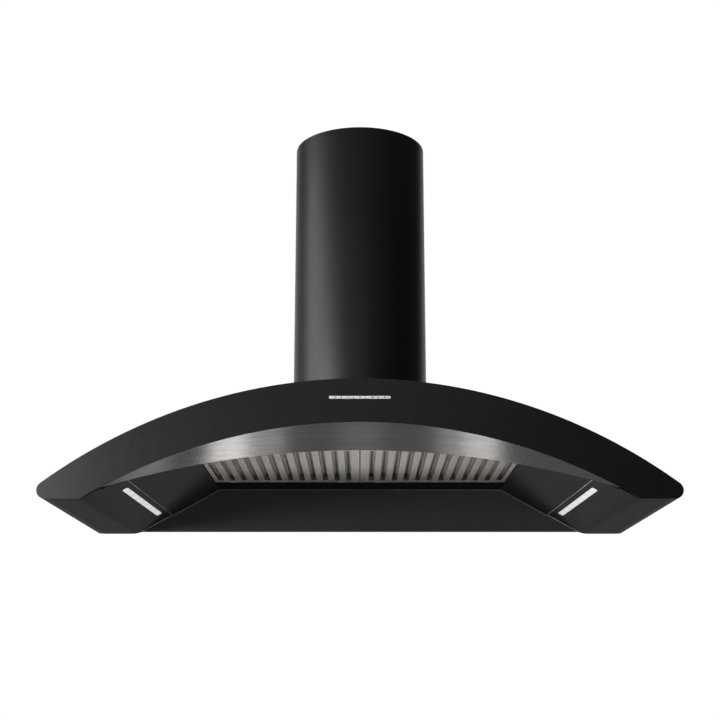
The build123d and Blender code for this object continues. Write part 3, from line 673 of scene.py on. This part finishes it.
board_green = new_finish("circuit_board", Roughness=0.35, Coat_Weight=0.4)
board_tracks = {
    "Vector": on_piece(board_green),
    "Color1": (0.010, 0.075, 0.030, 1),
    "Color2": (0.014, 0.095, 0.040, 1),
    "Mortar": (0.045, 0.160, 0.070, 1),
    "Scale": 140.0,
    "Mortar Size": 0.05,
}
tracks = add_node(board_green.node_tree, "ShaderNodeTexBrick", board_tracks)
drive(board_green, "Base Color", tracks.outputs["Color"])
drive(board_green, "Normal", relief(board_green, tracks.outputs["Fac"], 0.00003))


def slot_outline(length, width):
    """A long outline with round ends."""
    straight = (length - width) / 2
    outline = arc_points(straight, 0, width / 2, -90, 90, end_steps)
    return outline + arc_points(-straight, 0, width / 2, 90, 270, end_steps)


def on_slope(side, lift):
    """Lays a drawing along the lamp on one slope, lifted off it and turned with its flare."""
    normal = Vector((side * sin(slope), 0, cos(slope)))
    along = Vector((0, 1, 0))
    across = normal.cross(along)
    turned = Matrix((along, across, normal)).transposed().to_4x4()
    middle = at(side * lamp_x, lamp_middle_y, (hopper_foot - lamp_x) * tan(slope))
    foot = at(side * hopper_foot, 0, 0)
    opened = Matrix.Translation(foot) @ Matrix.Rotation(side * flare, 4, "Z") @ Matrix.Translation(-foot)
    return opened @ Matrix.Translation(middle + normal * lift * mm) @ turned


def join_pieces(name, *pieces):
    """One piece from several closed forms."""
    form = bmesh.new()
    for piece in pieces:
        form.from_mesh(piece.data)
        bpy.data.objects.remove(piece)
    return piece_of(form, name)


lens_outline = slot_outline(lamp_length - 2 * lens_gap, lamp_width - 2 * lens_gap)
rim_outline = slot_outline(lamp_length + 2 * lens_rim, lamp_width + 2 * lens_rim)
for side, sign in sides:
    lens_place = on_slope(sign, lens_height / 2 - lens_proud)
    rim_place = on_slope(sign, sheet + lens_sheet / 2)
    face = plate("lens_face", [lens_outline], lens_height, lens_edge, lens_place)
    rim = plate("lens_rim", [rim_outline], lens_sheet, lens_rim_edge, rim_place)
    lens = join_pieces(side + "_lamp_lens_opal", face, rim)
    ease(lens, 0)
    hand_over(lens, "hood", "lamp_opal", opal, side + "_lamp_lens")
    eased_copy(side + "_lamp_housing", rolled_aluminium, "aluminium_sheet")
paint_nodes(board_green, "left_led_board", "right_led_board", "switch_board")

# Push buttons
# Five slim caps of metallised plastic in one window, each on a stem that presses its own small switch.
# Their faces carry a small printed sign for power, three speeds and light.
button_proud = 1.0
button_cap = 7.0
cap_edge = 0.6
stem_width = 6.0
stem_height = 4.0
stem_length = 6.0
stem_root = 0.5
stem_edge = 0.3
block_crease = 60
sign_proud = 0.04
bar_pitch = 1.7
bar_width = 0.9
bar_height = 3.0

silver = new_finish("metallised_silver", Metallic=0.10)
silver_flake = mottle(silver, 2600, detail=1.0)
silver_sweep = mottle(silver, 60, (0.3, 1, 4))
surface(
    silver,
    (silver_flake, (0.93, 0.93, 0.93), (0.98, 0.98, 0.97)),
    (silver_sweep, 0.22, 0.30),
    (silver_flake, 0.000003),
)

black_moulded = new_finish("moulded_black_plastic")
moulded_grain = mottle(black_moulded, 900)
surface(
    black_moulded,
    (mottle(black_moulded, 20), (0.014,) * 3, (0.024,) * 3),
    (moulded_grain, 0.45, 0.60),
    (moulded_grain, 0.00003),
)


def sign_bars(count):
    """A row of upright bars, as many as the speed."""
    return [((index - (count - 1) / 2) * bar_pitch, 0.0, bar_width, bar_height) for index in range(count)]


def upright(name, x, z, width, height, front, back):
    """A block about a point of the fascia, from one depth to another."""
    low = at(x - width / 2, front, z - height / 2)
    high = at(x + width / 2, back, z + height / 2)
    return block(name, low, high)


signs = {
    "power": [(0, 1.0, 0.8, 1.8), (-1.6, -0.1, 0.7, 2.0), (1.6, -0.1, 0.7, 2.0), (0, -1.4, 2.5, 0.7)],
    "low": sign_bars(1),
    "medium": sign_bars(2),
    "high": sign_bars(3),
    "light": [
        (0, 0, 1.7, 1.7),
        (-1.9, 0, 1.0, 0.6),
        (1.9, 0, 1.0, 0.6),
        (0, 1.6, 0.6, 0.7),
        (0, -1.6, 0.6, 0.7),
    ],
}
face_y = -depth - button_proud
cap_back = face_y + button_cap
stem_front = cap_back - stem_root
stem_back = cap_back + stem_length
for index, name in enumerate(button_names):
    x = (index - button_middle) * button_pitch
    cap = upright("cap", x, button_level, button_width, button_height, face_y, cap_back)
    stem = upright("stem", x, button_level, stem_width, stem_height, stem_front, stem_back)
    ease(cap, cap_edge, block_crease)
    ease(stem, stem_edge, block_crease)
    printed = []
    for sign_x, sign_z, width, height in signs[name]:
        middle = (x + sign_x, button_level + sign_z)
        printed.append(upright("sign", *middle, width, height, face_y - sign_proud, face_y + sign_proud))
    plain_faces = len(cap.data.polygons) + len(stem.data.polygons)
    button = join_pieces("button_" + name + "_silver", cap, stem, *printed)
    button.data.materials.append(silver)
    button.data.materials.append(black_moulded)
    for face in button.data.polygons[plain_faces:]:
        face.material_index = 1
    hand_over(button, "button_" + name, "button_silver", None, "button_" + name)
eased_copy("switch_housing", black_moulded, "black_plastic")

# Baffle filters
# Two trays of folded stainless sheet, spot welded: channels between the slots and wider ones hung over them,
# so that the air turns twice. They darken towards the rear, part grease film and part painted shade, and a
# streak of painted shade runs over each slot.
filter_edge_x = 0.8
filter_first_slot = 23.5
filter_last_slot = 15.0
first_slot = filter_edge_x + filter_first_slot
filter_half = 318.0
filter_front = -498.5
filter_rear = -100.2
filter_rear_rail = 22.0
filter_low = 101.6
filter_height = 16.0
filter_sheet = 1.0
filter_fold = 0.8
slot_count = 12
slot_width = 11.0
slot_pitch = (filter_half - first_slot - filter_last_slot) / (slot_count - 1)
lower_wall = 5.0
weep_length = 10.0
weep_half_width = 0.5
upper_width = 17.0
upper_wall = 5.0
drain_length = 14.0
drain_width = 9.0
drain_back = filter_rear - filter_rear_rail
# A streak of painted shade over each slot, where the lower channels shade the upper ones.
slot_shade_half_width = 1.4
slot_shade_edge = 3.4
slot_shade_tone = 0.22
# Towards the rear the steel darkens: part grease film, part painted shade.
grease_and_shade_front = -300.0
grease_and_shade_back = -140.0
grease_and_shade_tone = 0.58


def number(tree, operation, first, second=0.0):
    """One step of arithmetic."""
    return add_node(tree, "ShaderNodeMath", {0: first, 1: second}, operation=operation).outputs[0]


def faded(tree, value, start, end, low, high):
    """Goes from the low level to the high one between two places, in millimetres."""
    inputs = {"Value": value, "From Min": start * mm, "From Max": end * mm, "To Min": low, "To Max": high}
    return add_node(tree, "ShaderNodeMapRange", inputs).outputs["Result"]


def washed_steel(name, paints_slot_shade=False):
    """Satin steel, darker at the rear as grease film and painted shade, or with a streak of painted shade
    over each slot.
    """
    finish = new_finish(name, Metallic=0.75)
    tree = finish.node_tree
    stain = mottle(finish, 16, detail=4.0)
    grain = mottle(finish, 40, (14, 0.6, 14), 4.0)
    across, along = add_node(tree, "ShaderNodeSeparateXYZ", {0: on_piece(finish)}).outputs[:2]
    # Over each slot, a streak of painted shade.
    if paints_slot_shade:
        across = number(tree, "SUBTRACT", number(tree, "ABSOLUTE", across), first_slot * mm)
        off_slot = number(tree, "PINGPONG", across, slot_pitch / 2 * mm)
        shade_factor = faded(tree, off_slot, slot_shade_half_width, slot_shade_edge, slot_shade_tone, 1.0)
    else:
        # Darker towards the rear: part grease film, part painted shade.
        shade_factor = faded(tree, along, grease_and_shade_front, grease_and_shade_back, 1.0, grease_and_shade_tone)
    bare = tones(finish, grain, (0.84, 0.79, 0.72), (0.99, 0.95, 0.88))
    darkened_colour = add_node(tree, "ShaderNodeVectorMath", {0: bare, "Scale": shade_factor}, operation="SCALE")
    drive(finish, "Base Color", darkened_colour.outputs[0])
    drive(finish, "Roughness", levels(finish, stain, 0.34, 0.46))
    drive(finish, "Normal", relief(finish, grain, 0.00001))
    return finish


washed = washed_steel("washed_stainless")
slot_shaded_stainless = washed_steel("sooty_stainless", True)

baffle_tree, baffle_in = new_tree(
    "row_of_folded_channels",
    Int=("Count",),
    Vector=("First",),
    Float=("Pitch", "Half Width", "Wall", "Fold", "Run", "Drain", "Rest", "Drain Half Width"),
)


def point_places(tree):
    """How far sideways and backward each point lies."""
    place = add_node(tree, "GeometryNodeInputPosition").outputs[0]
    return add_node(tree, "ShaderNodeSeparateXYZ", {0: place}).outputs[:2]


channel_left = number(baffle_tree, "MULTIPLY", baffle_in["Half Width"], -1.0)
drain_left = number(baffle_tree, "MULTIPLY", baffle_in["Drain Half Width"], -1.0)
channel_corners = [
    vector_of(baffle_tree, channel_left, 0.0, baffle_in["Wall"]),
    vector_of(baffle_tree, channel_left),
    vector_of(baffle_tree, drain_left),
    vector_of(baffle_tree, baffle_in["Drain Half Width"]),
    vector_of(baffle_tree, baffle_in["Half Width"]),
    vector_of(baffle_tree, baffle_in["Half Width"], 0.0, baffle_in["Wall"]),
]
channel_edges = welded(baffle_tree, chain(baffle_tree, channel_corners))
channel_curve = add_node(baffle_tree, "GeometryNodeMeshToCurve", {"Mesh": channel_edges})
fold_size = {"Curve": channel_curve.outputs[0], "Count": 4, "Radius": baffle_in["Fold"], "Limit Radius": True}
channel_folds = add_node(baffle_tree, "GeometryNodeFilletCurve", fold_size, mode="POLY")
channel = welded(baffle_tree, [channel_folds])
leading_edge = True
backwards = vector_of(baffle_tree, y=1.0)
for stretch in ("Run", "Drain", "Rest"):
    pull = {"Mesh": channel, "Selection": leading_edge, "Offset": backwards}
    pull["Offset Scale"] = baffle_in[stretch]
    pulled = add_node(baffle_tree, "GeometryNodeExtrudeMesh", pull, mode="EDGES")
    channel, leading_edge = pulled.outputs["Mesh"], pulled.outputs["Top"]
across, along = point_places(baffle_tree)
off_middle = number(baffle_tree, "ABSOLUTE", across)
drain_end = number(baffle_tree, "ADD", baffle_in["Run"], baffle_in["Drain"])
in_drain = number(baffle_tree, "LESS_THAN", off_middle, baffle_in["Drain Half Width"])
for test in (
    number(baffle_tree, "GREATER_THAN", along, baffle_in["Run"]),
    number(baffle_tree, "LESS_THAN", along, drain_end),
):
    in_drain = number(baffle_tree, "MULTIPLY", in_drain, test)
drain_cut = {"Geometry": channel, "Selection": in_drain}
pierced = add_node(baffle_tree, "GeometryNodeDeleteGeometry", drain_cut, domain="FACE")
row_step = vector_of(baffle_tree, baffle_in["Pitch"])
row_size = {"Count": baffle_in["Count"], "Start Location": baffle_in["First"], "Offset": row_step}
row = add_node(baffle_tree, "GeometryNodeMeshLine", row_size)
row_fill = {"Points": row.outputs[0], "Instance": pierced.outputs[0]}
channels = add_node(baffle_tree, "GeometryNodeInstanceOnPoints", row_fill)
end_tree(baffle_tree, channels.outputs[0], baffle_in["Finish"])


def baffle_row(name, body, finish, sign, count, first_x, level, **sizes):
    """A row of folded channels of one filter; the sheet's middle line is drawn, then made thick."""
    piece = grown(
        name + "_folded",
        baffle_tree,
        Count=count,
        Pitch=sign * slot_pitch * mm,
        First=at(sign * first_x, filter_front + filter_sheet, level),
        Fold=filter_fold * mm,
        Finish=finish,
        **{label: size * mm for label, size in sizes.items()},
    )
    thicken(piece, filter_sheet, 0.0)
    ease(piece, 0)
    hand_over(piece, body, "filter_steel", finish, name)


filter_run = filter_rear - filter_front
low_level = filter_low + 1.5 * filter_sheet
high_level = filter_low + filter_height - 1.5 * filter_sheet - gap
low_run = filter_run - filter_rear_rail + drain_length - filter_sheet
upper_run = drain_back - drain_length - filter_front - filter_sheet
for side, sign in sides:
    baffle_row(
        side + "_lower_baffles",
        side + "_filter",
        washed,
        sign,
        slot_count - 1,
        first_slot + slot_pitch / 2,
        low_level,
        Half_Width=(slot_pitch - slot_width) / 2 - filter_sheet / 2,
        Wall=lower_wall + filter_sheet / 2,
        Run=low_run - 2 * weep_length,
        Drain=weep_length,
        Rest=weep_length,
        Drain_Half_Width=weep_half_width,
    )
    baffle_row(
        side + "_upper_baffles",
        side + "_filter",
        slot_shaded_stainless,
        sign,
        slot_count,
        first_slot,
        high_level,
        Half_Width=upper_width / 2 - filter_sheet / 2,
        Wall=-upper_wall - filter_sheet / 2,
        Run=upper_run,
        Drain=drain_length,
        Rest=filter_run - 2 * filter_sheet - upper_run - drain_length,
        Drain_Half_Width=drain_width / 2,
    )
    eased_copy(side + "_filter_frame", washed, "filter_steel")
    eased_copy(side + "_filter_pull", washed, "filter_steel")

# Blower
# A box of galvanised sheet through the canopy, with the scroll, the impeller on its motor shaft and the motor
# bracket. The screws are zinc plated with cross recesses, and the impeller is a black moulding.
plate_edge = 0.2
moulded_edge = 0.15
plated = new_finish("plated_steel", Metallic=1.0)
plated_marks = mottle(plated, 300)
surface(
    plated,
    (plated_marks, (0.56, 0.56, 0.55), (0.72, 0.72, 0.70)),
    (plated_marks, 0.20, 0.34),
    (plated_marks, 0.00001),
)

motor_grey = new_finish("motor_lacquer")
lacquer_dimples = spangle(motor_grey, 500)
surface(
    motor_grey,
    (mottle(motor_grey, 30), (0.075, 0.080, 0.085), (0.115, 0.12, 0.125)),
    (lacquer_dimples, 0.34, 0.46),
    (lacquer_dimples, 0.00004),
)

for name in ("blower_box", "blower_scroll", "motor_bracket", "duct_collar", "capacitor_clip"):
    eased_copy(name, galvanised, "zinc_sheet", plate_edge)
for name in ("motor_shaft", "damper_spindle", "filter_hinge_rod", "filter_catches"):
    eased_copy(name, plated, "bright_steel", plate_edge)
for name in ("impeller", "control_box", "cable_gland"):
    eased_copy(name, black_moulded, "black_plastic", moulded_edge)
for name in ("damper_flap_front", "damper_flap_rear", "capacitor"):
    eased_copy(name, rolled_aluminium, "aluminium_sheet", moulded_edge)
eased_copy("motor", motor_grey, "motor_paint", plate_edge)

screw_tree, screw_in = new_tree(
    "ring_of_screws",
    Int=("Count",),
    Float=("Ring Radius", "Head Radius", "Head Height", "Shank Radius", "Shank Length"),
    Vector=("Start", "Turn", "Place"),
)


def screw_share(size, factor):
    """A share of one of the screw's sizes."""
    return number(screw_tree, "MULTIPLY", screw_in[size], factor)


def screw_moved(part, **place):
    """A part of the screws in its place."""
    return add_node(screw_tree, "GeometryNodeTransform", {"Geometry": part.outputs[0], **place})


head_radius = screw_in["Head Radius"]
head_height = screw_in["Head Height"]
head_low = screw_share("Head Height", 0.45)
head_dome = screw_share("Head Height", 0.55)
head_top = screw_share("Head Radius", 0.62)
head_middle = number(screw_tree, "MULTIPLY", head_low, 0.5)
shank_middle = screw_share("Shank Length", -0.5)
rim_size = {"Vertices": 20, "Radius": head_radius, "Depth": head_low}
dome_size = {"Vertices": 20, "Radius Top": head_top, "Radius Bottom": head_radius, "Depth": head_dome}
shank_size = {"Vertices": 16, "Radius": screw_in["Shank Radius"], "Depth": screw_in["Shank Length"]}
solid = add_node(screw_tree, "GeometryNodeMeshBoolean", operation="UNION", solver="EXACT")
for kind, size, level in (
    ("Cylinder", rim_size, head_middle),
    ("Cone", dome_size, head_low),
    ("Cylinder", shank_size, shank_middle),
):
    part = add_node(screw_tree, "GeometryNodeMesh" + kind, size)
    part = screw_moved(part, Translation=vector_of(screw_tree, z=level))
    screw_tree.links.new(part.outputs[0], solid.inputs["Mesh 2"])
recess = add_node(screw_tree, "GeometryNodeJoinGeometry")
arm_long = screw_share("Head Radius", 1.1)
arm_slim = screw_share("Head Radius", 0.26)
arm_level = vector_of(screw_tree, z=head_height)
for arm_x, arm_y in ((arm_long, arm_slim), (arm_slim, arm_long)):
    arm_size = vector_of(screw_tree, arm_x, arm_y, head_height)
    arm = add_node(screw_tree, "GeometryNodeMeshCube", {"Size": arm_size})
    arm = screw_moved(arm, Translation=arm_level)
    screw_tree.links.new(arm.outputs[0], recess.inputs[0])
screw = add_node(screw_tree, "GeometryNodeMeshBoolean", operation="DIFFERENCE", solver="EXACT")
screw_tree.links.new(solid.outputs[0], screw.inputs["Mesh 1"])
screw_tree.links.new(recess.outputs[0], screw.inputs["Mesh 2"])
screw.inputs["Self Intersection"].default_value = True
ring_size = {"Vertices": screw_in["Count"], "Radius": screw_in["Ring Radius"]}
ring = add_node(screw_tree, "GeometryNodeMeshCircle", ring_size)
ring_fill = {"Points": ring.outputs[0], "Instance": screw.outputs[0]}
screws = add_node(screw_tree, "GeometryNodeInstanceOnPoints", ring_fill)
screws = screw_moved(screws, Rotation=screw_in["Start"])
screws = screw_moved(screws, Rotation=screw_in["Turn"], Translation=screw_in["Place"])
end_tree(screw_tree, screws.outputs[0], screw_in["Finish"])

axis_y = -150.0
box_top = 372.0
collar_flange = 1.5
collar_ring = 82.5
motor_level = 250.0
motor_ring = 69.0
motor_face = 62.0
for name, count, ring_radius, start, turn, place in (
    ("collar_screws", 4, collar_ring, 0.0, 0.0, at(0, axis_y, box_top + collar_flange)),
    ("motor_screws", 3, motor_ring, radians(20), radians(90), at(motor_face, axis_y, motor_level)),
):
    piece = grown(
        name + "_plated",
        screw_tree,
        Count=count,
        Ring_Radius=ring_radius * mm,
        Head_Radius=3.6 * mm,
        Head_Height=2.0 * mm,
        Shank_Radius=1.9 * mm,
        Shank_Length=8.0 * mm,
        Start=(0.0, 0.0, start),
        Turn=(0.0, turn, 0.0),
        Place=place,
        Finish=plated,
    )
    ease(piece, 0)
    hand_over(piece, "hood", "bright_steel", plated, name)

# Switch cable
# A round lead in a grey plastic jacket, clipped between the switch unit and the control box.
# The jacket is extruded, so it is smooth with a slight waxy unevenness.
jacket = new_finish("cable_jacket")
jacket_haze = mottle(jacket, 120)
surface(
    jacket,
    (jacket_haze, (0.10, 0.10, 0.105), (0.14, 0.14, 0.145)),
    (jacket_haze, 0.38, 0.52),
    (jacket_haze, 0.00002),
)
eased_copy("switch_cable", jacket, "cable_jacket", 0)

# Chimney cover and extension
# Two sheets wrapped to a round front with straight sides and a flange along the wall, in the canopy's satin
# black. The extension slides up inside the cover, and the cover's foot is cut to sit on the arch.
chimney_radius = 146.0
chimney_top = 860.0
chimney_flange = 16.0
front_points = 97
slide_gap = 0.5
extension_top = chimney_top - 2.0
extension_length = 450.0
extension_low = extension_top - extension_length

wrap_tree, wrap_in = new_tree(
    "wrapped_sheet",
    Float=("Radius", "Axis", "Back", "Flange", "Low", "Top", "Seat Radius", "Seat Middle"),
)
wrap_left = number(wrap_tree, "MULTIPLY", wrap_in["Radius"], -1.0)
wrap_front = number(wrap_tree, "SUBTRACT", wrap_in["Axis"], wrap_in["Radius"])
wrap_mouth = number(wrap_tree, "SUBTRACT", wrap_in["Radius"], wrap_in["Flange"])
mouth_left = number(wrap_tree, "MULTIPLY", wrap_mouth, -1.0)
round_front = {
    "Start": vector_of(wrap_tree, wrap_in["Radius"], wrap_in["Axis"]),
    "Middle": vector_of(wrap_tree, 0.0, wrap_front),
    "End": vector_of(wrap_tree, wrap_left, wrap_in["Axis"]),
    "Resolution": front_points,
}
wrap_lines = [add_node(wrap_tree, "GeometryNodeCurveArc", round_front, mode="POINTS")]
for edge_x, lip_x in ((wrap_in["Radius"], wrap_mouth), (wrap_left, mouth_left)):
    corners = [
        vector_of(wrap_tree, edge_x, wrap_in["Axis"]),
        vector_of(wrap_tree, edge_x, wrap_in["Back"]),
        vector_of(wrap_tree, lip_x, wrap_in["Back"]),
    ]
    wrap_lines += chain(wrap_tree, corners)
wrap_edges = welded(wrap_tree, wrap_lines)
across, along = point_places(wrap_tree)
seat_square = number(wrap_tree, "MULTIPLY", wrap_in["Seat Radius"], wrap_in["Seat Radius"])
across_square = number(wrap_tree, "MULTIPLY", across, across)
seat_rise = number(wrap_tree, "SQRT", number(wrap_tree, "SUBTRACT", seat_square, across_square))
seat_z = number(wrap_tree, "ADD", number(wrap_tree, "ADD", seat_rise, wrap_in["Seat Middle"]), wrap_in["Low"])
foot_place = {"Geometry": wrap_edges, "Position": vector_of(wrap_tree, across, along, seat_z)}
wrap_foot = add_node(wrap_tree, "GeometryNodeSetPosition", foot_place)
wrap_rise = 0.1
wrap_pull = {"Mesh": wrap_foot.outputs[0], "Offset": vector_of(wrap_tree, z=1.0), "Offset Scale": wrap_rise}
wrap_skin = add_node(wrap_tree, "GeometryNodeExtrudeMesh", wrap_pull, mode="EDGES").outputs
top_place = {
    "Geometry": wrap_skin["Mesh"],
    "Selection": wrap_skin["Top"],
    "Position": vector_of(wrap_tree, across, along, wrap_in["Top"]),
}
wrap_whole = add_node(wrap_tree, "GeometryNodeSetPosition", top_place)
end_tree(wrap_tree, wrap_whole.outputs[0], wrap_in["Finish"])

flat_seat = 100000.0
for name, body, radius, back, low, top, seat, seat_middle in (
    ("chimney_cover", "hood", chimney_radius, 0.0, gap, chimney_top, arch_radius, arch_z),
    (
        "chimney_extension",
        "extension",
        chimney_radius - sheet - slide_gap,
        -sheet - slide_gap,
        extension_low,
        extension_top,
        flat_seat,
        -flat_seat,
    ),
):
    piece = grown(
        name + "_coated",
        wrap_tree,
        Radius=radius * mm,
        Axis=axis_y * mm,
        Back=back * mm,
        Flange=chimney_flange * mm,
        Low=rim_z + low * mm,
        Top=rim_z + top * mm,
        Seat_Radius=seat * mm,
        Seat_Middle=seat_middle * mm,
        Finish=satin_black,
    )
    settle(piece)
    inside = at(0, axis_y, 600)
    face_away(piece, inside)
    thicken(piece, sheet)
    ease(piece, sheet_edge)
    hand_over(piece, body, "black_enamel", satin_black, name)

# Studio
# A plain pale floor well below the hood, clear from below, and a white surround, with soft boxes on all
# sides. A grey card on the floor in front keeps the bare steel from mirroring the pale floor.
floor_z = -1.25
floor_half_width = 12
floor_front = -12
floor_back = 9
floor_mesh = bpy.data.meshes.new("floor")
floor_corners = [
    (-floor_half_width, floor_front, floor_z),
    (floor_half_width, floor_front, floor_z),
    (floor_half_width, floor_back, floor_z),
    (-floor_half_width, floor_back, floor_z),
]
floor_mesh.from_pydata(floor_corners, [], [(0, 1, 2, 3)])
floor = new_piece("floor", floor_mesh)
pale = new_finish("pale_floor", Roughness=0.8, Emission_Color=(1, 1, 1, 1))
drive(pale, "Base Color", tones(pale, mottle(pale, 3), (0.78, 0.78, 0.78), (0.82, 0.82, 0.82)))
ground = pale.node_tree
floor_seen = add_node(ground, "ShaderNodeLightPath").outputs["Is Camera Ray"]
drive(pale, "Emission Strength", number(ground, "MULTIPLY", floor_seen, 0.62))
floor_skin = ground.nodes["Principled BSDF"].outputs[0]
from_below = add_node(ground, "ShaderNodeNewGeometry").outputs["Backfacing"]
clear = add_node(ground, "ShaderNodeBsdfTransparent").outputs[0]
floor_sides = add_node(ground, "ShaderNodeMixShader", {0: from_below, 1: floor_skin, 2: clear})
ground.links.new(floor_sides.outputs[0], ground.nodes["Material Output"].inputs["Surface"])
floor.data.materials.append(pale)

card_low = Vector((-5, -5, floor_z + 0.02))
card_high = Vector((5, 0.2, floor_z + 0.03))
card = block("grey_card", card_low, card_high)
card_grey = new_finish(
    "grey_card", Base_Color=(0, 0, 0, 1), Roughness=0.9, Emission_Color=(1, 1, 1, 1), Emission_Strength=0.103
)
card.data.materials.append(card_grey)
card.visible_camera = False
card.visible_diffuse = False
card.visible_shadow = False
card.visible_transmission = False

world = bpy.data.worlds.new("studio")
bpy.context.scene.world = world
world.use_nodes = True
sky = world.node_tree
white_surround = sky.nodes["Background"]
white_surround.inputs["Color"].default_value = (1, 1, 1, 1)
room = add_node(sky, "ShaderNodeLightPath").outputs
room_range = {"Value": room["Is Glossy Ray"], "To Min": 0.04, "To Max": 0.05}
room_level = add_node(sky, "ShaderNodeMapRange", room_range).outputs[0]
dim_room = add_node(sky, "ShaderNodeBackground", {"Color": (1, 1, 1, 1), "Strength": room_level})
direction = add_node(sky, "ShaderNodeTexCoord").outputs["Generated"]
behind = add_node(sky, "ShaderNodeSeparateXYZ", {0: direction}).outputs[1]
backdrop = number(sky, "GREATER_THAN", behind, 0.75)
mirrored = number(sky, "MAXIMUM", room["Is Glossy Ray"], room["Is Transmission Ray"])
shows_white = number(sky, "MAXIMUM", room["Is Camera Ray"], number(sky, "MULTIPLY", backdrop, mirrored))
surrounds = {0: shows_white, 1: dim_room.outputs[0], 2: white_surround.outputs[0]}
mixed = add_node(sky, "ShaderNodeMixShader", surrounds)
sky.links.new(mixed.outputs[0], sky.nodes["World Output"].inputs["Surface"])


def soft_box(name, place, target, width, height, power):
    """A soft rectangular lamp that faces a point, out of the camera's sight."""
    lamp = bpy.data.lights.new(name, "AREA")
    lamp.shape = "RECTANGLE"
    lamp.size = width
    lamp.size_y = height
    lamp.energy = power
    box = new_piece(name, lamp)
    box.location = place
    box.rotation_euler = (Vector(target) - Vector(place)).to_track_quat("-Z", "Y").to_euler()
    box.visible_camera = False


soft_box("chimney_box", (-1.4, -0.2, 0.6), (0, -0.2, 0.4), 0.4, 1.2, 6.3)
soft_box("side_box", (-1.6, -0.8, 0.6), (0, -0.2, 0.4), 0.4, 1.2, 5.1)
soft_box("left_box", (-1.3, -1.15, -0.05), (-0.3, -0.55, 0), 0.5, 0.5, 25)
soft_box("front_box", (0, -2.6, 0.6), (0, -0.55, 0.04), 0.6, 0.35, 1.15)
soft_box("top_box", (0.3, -0.6, 2.8), (0, -0.3, 0), 2.0, 1.5, 11)
soft_box("rear_box", (0, 1.3, -0.75), (0, -0.4, -0.05), 0.6, 0.4, 0.36)
soft_box("back_box", (0, 2.6, 1.0), (0, 0, 0.1), 1.6, 1.2, 9)
for side in (-1, 1):
    soft_box("low_box", (side * 1.0, -0.5, -0.9), (side * 0.1, -0.3, -0.05), 0.4, 0.4, 1.6)
strip_front = -0.845
strip_level = -0.655
strip_length = 0.2
strips = (
    (-0.25, 0.12, 0.025),
    (-0.128, 0.036, 0.044),
    (-0.092, 0.036, 0.012),
    (0, 0.04, 0.0035),
    (0.088, 0.026, 0.007),
    (0.118, 0.034, 0.031),
)
for strip_x, strip_width, strip_power in strips:
    strip_place = Vector((strip_x, strip_front, strip_level))
    straight_up = strip_place + Vector((0, 0, 1))
    soft_box("strip", strip_place, straight_up, strip_width, strip_length, strip_power)

camera_tilt = 14.391
camera_data = bpy.data.cameras.new("camera")
camera_data.lens = 64.66
camera_data.sensor_width = 36.0
camera = new_piece("camera", camera_data)
camera.location = (0, -2.930, -0.501)
camera.rotation_euler = (radians(90 + camera_tilt), 0, 0)
bpy.context.scene.camera = camera
bpy.context.scene.view_settings.view_transform = "Standard"
